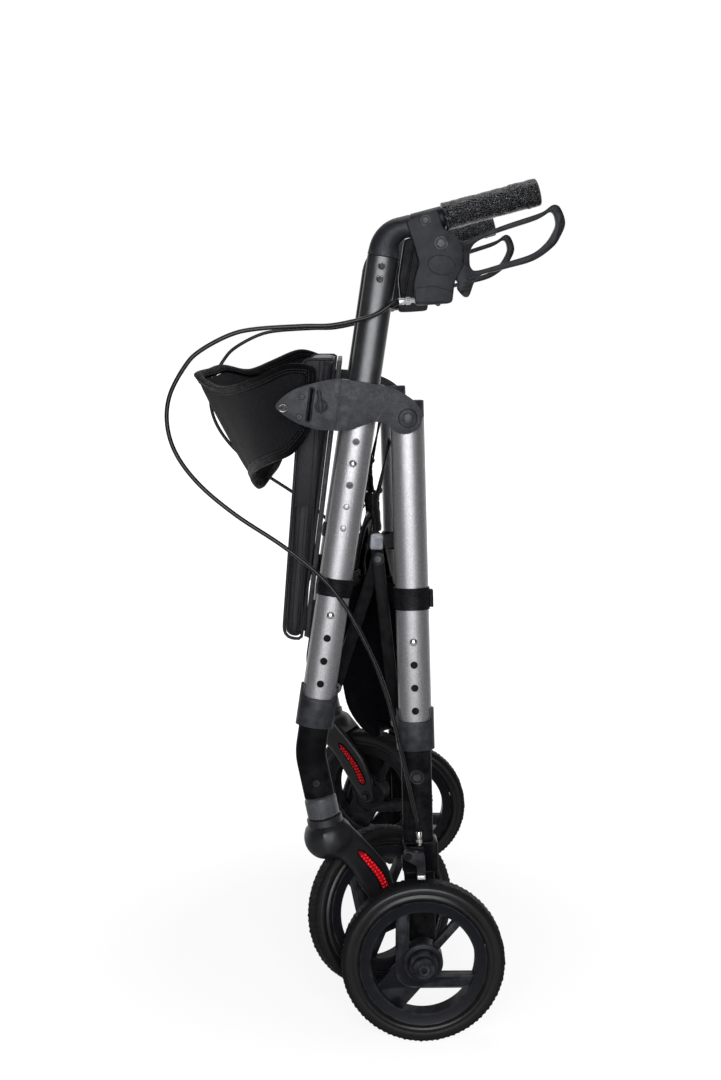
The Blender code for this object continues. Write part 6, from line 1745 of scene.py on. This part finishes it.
def band_mesh(local, low, high, tie):
    """Elastic band round a tube, with its end sewn to the bag."""
    rings = []
    count = 18
    for k in range(count + 1):
        t = k / count
        z = low + (high - low) * t
        grow = 0.0005 + 0.0018 * math.sin(math.pi * min(max(t, 0.03), 0.97)) ** 0.35
        rings.append(oval_ring(TUBE, z, 72, grow))
    inside = [oval_ring(TUBE, high, 72, 0.0004), oval_ring(TUBE, low, 72, 0.0004)]
    band = skin(rings + inside, closed=True)
    for vertex in band.vertices:
        loose = noise.noise(vertex.co * 260.0) * 0.0004
        out = Vector((vertex.co.x, vertex.co.y * 2.4, 0.0)).normalized()
        if abs(math.hypot(vertex.co.x / TUBE[0], vertex.co.y / TUBE[1]) - 0.5) > 0.02:
            vertex.co += out * loose
    band = moved(band, local)
    middle = local @ Vector((0.0, TUBE[1] / 2 + 0.0012, (low + high) / 2))
    foot = Vector((PIVOT.x + tie, -BAG_HALF + 0.012, middle.z))
    line = [middle.lerp(foot, k / 6) + Vector((0.0, 0.0, 0.0012 * math.sin(k * 1.3)))
            for k in range(7)]
    half = (high - low) * 0.42
    rings = [[p + Vector((a, 0.0, b)) for a, b in (
        (-0.0011, -half), (0.0011, -half), (0.0013, 0.0), (0.0011, half), (-0.0011, half),
        (-0.0013, 0.0))] for p in line]
    return merge(band, skin(rings))


def make_bag(sizes):
    span = ("front_frame", "rear_frame", (PIVOT.x - 0.07, 0.0, PIVOT.z - 0.28),
            (PIVOT.x - 0.03, 0.0, PIVOT.z - 0.28))
    cloth = place("bag_cloth", bag_mesh(sizes.bag_fold), span, "nylon", ("storage_bag",),
                  sharp=SOFT_ANGLE)
    pipes = []
    for share in (-1.0, 1.0):
        out = Vector((0.0, share * 0.0004, 0.0))
        pipes.append(sweep([point + out for point in bag_ring(share, sizes.bag_fold)], 0.0012, 8))
    for which in (0, -1):
        hem = [bag_ring(-1.0 + k / 20, sizes.bag_fold)[which] for k in range(41)]
        pipes.append(sweep(hem, 0.0013, 8))
    place("bag_piping", merge(*pipes), span, "tape")


def make_bands(sizes):
    front = band_mesh(FRONT, *FRONT_BAND, -0.0537)
    rear = band_mesh(REAR, *REAR_BAND, -0.0377)
    place_pair("front_bag_bands", front, WORLD, "front_frame", "elastic", sharp=SOFT_ANGLE)
    tab = slab([(0.0195, -0.219), (0.0245, -0.2195), (0.0245, -0.199), (0.0195, -0.1985)],
               -0.0045, 0.0045)
    rear = merge(rear, moved(round_edges(tab, 0.0012), REAR))
    place_pair("rear_bag_bands", rear, WORLD, "rear_frame", "elastic", sharp=SOFT_ANGLE)
    route = spline([(x + REAR_AXLE_X, y, z) for x, y, z in STRAP_ROUTE], 6)
    strap = sweep(route, 0.0018, 10, flat=0.6)
    knot = lathe([(0.0, -0.004), (0.0022, -0.0032), (0.0034, 0.0), (0.0022, 0.0032), (0.0, 0.004)],
                 20)
    knots = [moved(knot.copy(), Matrix.Translation(point)) for point in (route[-8], route[14])]
    bundle = spline([(0.0176, -0.215, 0.585), (0.0169, -0.2155, 0.5975), (0.0147, -0.216, 0.611),
                     (0.0147, -0.216, 0.6235), (0.0178, -0.216, 0.632)], 8)

    def lump(t):
        return 0.0058 + 0.0008 * math.sin(math.pi * t) + 0.0007 * math.sin(t * 19.0)

    knots.append(sweep(bundle, lump, 16, flat=0.55))
    tail = spline([(0.014, -0.215, 0.606), (0.0081, -0.214, 0.5997), (0.0015, -0.213, 0.5874),
                   (-0.0035, -0.212, 0.5639), (-0.0075, -0.211, 0.5392)], 8)

    def narrowing(t):
        return 0.005 - 0.0024 * t

    knots.append(sweep(tail, narrowing, 16, flat=0.4))
    second = spline([bundle[-4], (0.0245, -0.219, 0.66), (0.033, -0.224, 0.692)], 8)
    knots.append(sweep(second, 0.0016, 10, flat=0.6))
    clip = box_outline((-0.0042, 0.0042), (-0.006, 0.006))
    buckle = round_edges(slab(clip, -0.0018, 0.0018), 0.0007)
    buckle = moved(buckle, Matrix.Translation(route[20]))
    place_pair("bag_straps", merge(strap, *knots, buckle), WORLD, "front_frame", "elastic")


# Brake cables

def make_cables(sizes):
    """Each cable in three lengths, along the handle, across the fold and down the leg, each baked
    in place on no body.
    """
    start = FRONT @ Vector(ADJUSTER[1])
    heading = (start - FRONT @ Vector(ADJUSTER[0])).normalized()
    foot = REAR @ Vector((0.0, ADJUSTER_Y, ADJUSTER_HIGH + GAP))
    above = REAR @ Vector((0.0, ADJUSTER_Y, ADJUSTER_HIGH + 0.006))
    route = [start + heading * GAP, start + heading * 0.006]
    route += [Vector((x + REAR_AXLE_X, y, z)) for x, y, z in CABLE_ROUTE] + [above, foot]
    line = even_line(spline(route, 10), CABLE_POINTS)
    for side, turn in (("l", WORLD), ("r", MIRROR)):
        points = [turn @ point for point in line]
        for name, first, last, bodies in (
                ("upper", 0, 61, (f"handle_{side}", "front_frame")),
                ("loop", 60, 201, ("front_frame", "rear_frame")),
                ("lower", 200, CABLE_POINTS, ("rear_frame", f"rear_leg_{side}"))):
            part = points[first:last]
            cable = sweep(part, CABLE_RADIUS, 16)
            place(f"{name}_cable_{side}", cable, (*bodies, part[0], part[-1]), "cable",
                  (f"brake_cable_{side}",))
        for name, tip, towards, body in (("cable_ferrule", -1, -8, "rear_leg"),
                                         ("cable_end", 0, 4, "handle")):
            ferrule = turned_along(FERRULE, points[tip], points[towards], 24)
            place(f"{name}_{side}", ferrule, f"{body}_{side}", "glossy")


# Studio

# Name, place, point aimed at, width and height, and watts of each light
STUDIO_LIGHTS = (
    ("front_softbox", (-0.02, -2.3, 1.05), (0.0, 0.0, 0.62), (1.45, 1.8), 54.0),
    ("left_strip", (-1.7, -0.9, 1.0), (0.0, -0.1, 0.5), (0.5, 1.8), 0.8),
    ("right_strip", (1.6, -0.5, 0.9), (0.0, -0.1, 0.5), (0.4, 1.8), 1.0),
    ("top_softbox", (0.0, 0.3, 2.5), (0.0, 0.0, 0.5), (1.4, 1.4), 16.0))


def soft_light(name, location, target, size, power):
    light = bpy.data.lights.new(name, "AREA")
    light.shape = "RECTANGLE"
    light.size, light.size_y = size
    light.energy = power
    light.color = (0.95, 0.965, 1.0)
    lamp = bpy.data.objects.new(name, light)
    bpy.context.scene.collection.objects.link(lamp)
    lamp.location = location
    direction = Vector(target) - Vector(location)
    lamp.rotation_euler = direction.to_track_quat("-Z", "Y").to_euler()


def seen_ray(tree, backdrop):
    """1 where the camera sees a surface straight, and the backdrop's share in a mirror or glass."""
    path = tree.nodes.new("ShaderNodeLightPath").outputs
    total = path["Is Camera Ray"]
    for name in ("Is Glossy Ray", "Is Transmission Ray"):
        part = reckoned(tree, "MULTIPLY", path[name], backdrop)
        total = reckoned(tree, "MAXIMUM", total, part)
    return total


def blended(tree, share, first, second, end):
    """Two shaders mixed by a share into the tree's output."""
    node = tree.nodes.new("ShaderNodeMixShader")
    for socket, value in zip(node.inputs, (share, first.outputs[0], second.outputs[0])):
        tree.links.new(value, socket)
    tree.links.new(node.outputs[0], tree.nodes[end].inputs["Surface"])


def make_world(scene):
    """Faint light all round, and a white backdrop for the camera and for mirrors."""
    scene.world = bpy.data.worlds.new("studio")
    scene.world.use_nodes = True
    tree = scene.world.node_tree
    dim = tree.nodes["Background"]
    dim.inputs["Color"].default_value = (0.8, 0.82, 0.86, 1.0)
    dim.inputs["Strength"].default_value = 0.05
    white = add_node(tree, "ShaderNodeBackground", Color=(1.0, 1.0, 1.0, 1.0), Strength=1.0)
    generated = tree.nodes.new("ShaderNodeTexCoord").outputs["Generated"]
    heading = add_node(tree, "ShaderNodeSeparateXYZ", Vector=generated)
    behind = mapped(tree, heading.outputs["Y"], 0.15, 0.7)
    blended(tree, seen_ray(tree, behind), dim, white, "World Output")


def make_floor(scene):
    """White floor that takes the shadow near the object and glows into the backdrop."""
    mesh = bpy.data.meshes.new("studio_floor")
    mesh.from_pydata([(x * FLOOR_REACH, y * FLOOR_REACH, 0.0)
                      for x, y in ((-1, -1), (1, -1), (1, 1), (-1, 1))], [], [(0, 1, 2, 3)])
    floor = bpy.data.objects.new("studio_floor", mesh)
    scene.collection.objects.link(floor)
    material = bpy.data.materials.new("studio_floor")
    material.use_nodes = True
    tree = material.node_tree
    surface = tree.nodes["Principled BSDF"]
    surface.inputs["Base Color"].default_value = (0.62, 0.62, 0.62, 1.0)
    surface.inputs["Roughness"].default_value = 0.9
    glow = add_node(tree, "ShaderNodeEmission", Strength=1.22)
    where = tree.nodes.new("ShaderNodeTexCoord").outputs["Object"]
    distance = add_node(tree, "ShaderNodeVectorMath", {"operation": "LENGTH"})
    tree.links.new(where, distance.inputs[0])
    glow_share = mapped(tree, distance.outputs["Value"], 0.25, 1.1, 0.72)
    sides = add_node(tree, "ShaderNodeSeparateXYZ", Vector=where)
    behind = mapped(tree, sides.outputs["Y"], 0.0, 0.7)
    share = reckoned(tree, "MULTIPLY", glow_share, seen_ray(tree, behind))
    blended(tree, share, surface, glow, "Material Output")
    mesh.materials.append(material)


def make_stage():
    scene = bpy.context.scene
    scene.view_settings.view_transform = "Standard"
    make_world(scene)
    make_floor(scene)
    for light in STUDIO_LIGHTS:
        soft_light(*light)

    camera = bpy.data.cameras.new("photo_camera")
    camera.lens = 50.0
    camera.sensor_width = 36.0
    camera.sensor_height = 36.0
    camera.sensor_fit = "AUTO"
    camera.shift_y = -0.05
    viewer = bpy.data.objects.new("photo_camera", camera)
    scene.collection.objects.link(viewer)
    viewer.location = (-0.0226, -1.9605, 0.812)
    viewer.rotation_euler = (math.radians(90.0 - 5.7), 0.0, math.radians(-0.67))
    scene.camera = viewer


# Operators

class PieceOperator:
    bl_options = {"REGISTER", "UNDO"}
    make = None

    def execute(self, context):
        type(self).make(context.scene.rollator_sizes)
        return {"FINISHED"}


class ROLLATOR_OT_tubes(PieceOperator, bpy.types.Operator):
    """Outer tubes of the frame, with their holes, studs and caps"""
    bl_idname = "rollator.tubes"
    bl_label = "Outer tubes"
    make = staticmethod(make_frame_tubes)


class ROLLATOR_OT_collars(PieceOperator, bpy.types.Operator):
    """Sleeves under the ends of the outer tubes"""
    bl_idname = "rollator.collars"
    bl_label = "Collars"
    make = staticmethod(make_collars)


class ROLLATOR_OT_brackets(PieceOperator, bpy.types.Operator):
    """Fold brackets with their screws, strap slots and pivot bolts"""
    bl_idname = "rollator.brackets"
    bl_label = "Fold brackets"
    make = staticmethod(make_brackets)


class ROLLATOR_OT_handles(PieceOperator, bpy.types.Operator):
    """Handle posts, elbows and rubber grips"""
    bl_idname = "rollator.handles"
    bl_label = "Handles"
    make = staticmethod(make_handles)


class ROLLATOR_OT_brakes(PieceOperator, bpy.types.Operator):
    """Brake clamps, loop levers and cable adjusters"""
    bl_idname = "rollator.brakes"
    bl_label = "Hand brakes"
    make = staticmethod(make_brakes)


class ROLLATOR_OT_buttons(PieceOperator, bpy.types.Operator):
    """Spring buttons of the height stops"""
    bl_idname = "rollator.buttons"
    bl_label = "Spring buttons"
    make = staticmethod(make_buttons)


class ROLLATOR_OT_front_legs(PieceOperator, bpy.types.Operator):
    """Bent front legs with their bushes"""
    bl_idname = "rollator.front_legs"
    bl_label = "Front legs"
    make = staticmethod(make_front_legs)


class ROLLATOR_OT_casters(PieceOperator, bpy.types.Operator):
    """Caster forks with their axles and beaded reflectors"""
    bl_idname = "rollator.casters"
    bl_label = "Casters"
    make = staticmethod(make_casters)


class ROLLATOR_OT_wheels(PieceOperator, bpy.types.Operator):
    """Tyres with tread, and cast rims"""
    bl_idname = "rollator.wheels"
    bl_label = "Wheels"
    make = staticmethod(make_wheels)


class ROLLATOR_OT_rear_legs(PieceOperator, bpy.types.Operator):
    """Straight rear legs with their axles and clips"""
    bl_idname = "rollator.rear_legs"
    bl_label = "Rear legs"
    make = staticmethod(make_rear_legs)


class ROLLATOR_OT_wheel_brakes(PieceOperator, bpy.types.Operator):
    """Brake housings, adjusters and shoes at the rear wheels"""
    bl_idname = "rollator.wheel_brakes"
    bl_label = "Wheel brakes"
    make = staticmethod(make_wheel_brakes)


class ROLLATOR_OT_cross_tubes(PieceOperator, bpy.types.Operator):
    """Seat axle and the two cross tubes with their lugs"""
    bl_idname = "rollator.cross_tubes"
    bl_label = "Cross tubes"
    make = staticmethod(make_cross_tubes)


class ROLLATOR_OT_brace(PieceOperator, bpy.types.Operator):
    """Links of the fold brace"""
    bl_idname = "rollator.brace"
    bl_label = "Fold brace"
    make = staticmethod(make_brace)


class ROLLATOR_OT_seat(PieceOperator, bpy.types.Operator):
    """Seat cushion with its piping and stitches, and the seat board"""
    bl_idname = "rollator.seat"
    bl_label = "Seat"
    make = staticmethod(make_seat)


class ROLLATOR_OT_backrest(PieceOperator, bpy.types.Operator):
    """Backrest band with its binding and double stitches"""
    bl_idname = "rollator.backrest"
    bl_label = "Backrest"
    make = staticmethod(make_backrest)


class ROLLATOR_OT_bands(PieceOperator, bpy.types.Operator):
    """Elastic bands and straps that carry the bag"""
    bl_idname = "rollator.bands"
    bl_label = "Bag bands"
    make = staticmethod(make_bands)


class ROLLATOR_OT_bag(PieceOperator, bpy.types.Operator):
    """Cloth of the folded bag"""
    bl_idname = "rollator.bag"
    bl_label = "Bag"
    make = staticmethod(make_bag)


class ROLLATOR_OT_cables(PieceOperator, bpy.types.Operator):
    """Brake cables from the levers to the wheels"""
    bl_idname = "rollator.cables"
    bl_label = "Brake cables"
    make = staticmethod(make_cables)


class ROLLATOR_OT_stage(bpy.types.Operator):
    """Floor, soft lights and camera"""
    bl_idname = "rollator.stage"
    bl_label = "Studio"

    def execute(self, context):
        make_stage()
        return {"FINISHED"}


PIECES = (ROLLATOR_OT_tubes, ROLLATOR_OT_collars, ROLLATOR_OT_brackets, ROLLATOR_OT_handles,
          ROLLATOR_OT_brakes, ROLLATOR_OT_buttons, ROLLATOR_OT_front_legs, ROLLATOR_OT_casters,
          ROLLATOR_OT_wheels, ROLLATOR_OT_rear_legs, ROLLATOR_OT_wheel_brakes,
          ROLLATOR_OT_cross_tubes, ROLLATOR_OT_brace, ROLLATOR_OT_seat, ROLLATOR_OT_backrest,
          ROLLATOR_OT_bands, ROLLATOR_OT_bag, ROLLATOR_OT_cables, ROLLATOR_OT_stage)


class ROLLATOR_PT_panel(bpy.types.Panel):
    """Pieces of the rollator"""
    bl_idname = "ROLLATOR_PT_panel"
    bl_label = "Rollator"
    bl_space_type = "VIEW_3D"
    bl_region_type = "UI"
    bl_category = "Rollator"

    def draw(self, context):
        for piece in PIECES:
            self.layout.operator(piece.bl_idname)
        for group in (context.scene.rollator_sizes, context.scene.rollator_colours):
            box = self.layout.box()
            for key in group.__annotations__:
                box.prop(group, key)


CLASSES = (RollatorSizes, RollatorColours, *PIECES, ROLLATOR_PT_panel)


def register():
    for kind in CLASSES:
        bpy.utils.register_class(kind)
    bpy.types.Scene.rollator_sizes = PointerProperty(type=RollatorSizes)
    bpy.types.Scene.rollator_colours = PointerProperty(type=RollatorColours)


def unregister():
    del bpy.types.Scene.rollator_colours
    del bpy.types.Scene.rollator_sizes
    for kind in reversed(CLASSES):
        bpy.utils.unregister_class(kind)


TREES = {}
FINISHES = {}


def main():
    register()
    TREES.update(row=row_tree(), stitch=stitch_tree(), bead=bead_tree(), tread=tread_tree())
    FINISHES.update(make_finishes(bpy.context.scene.rollator_colours))
    for piece in PIECES:
        family, call = piece.bl_idname.split(".")
        getattr(getattr(bpy.ops, family), call)()


if __name__ == "__main__":
    main()
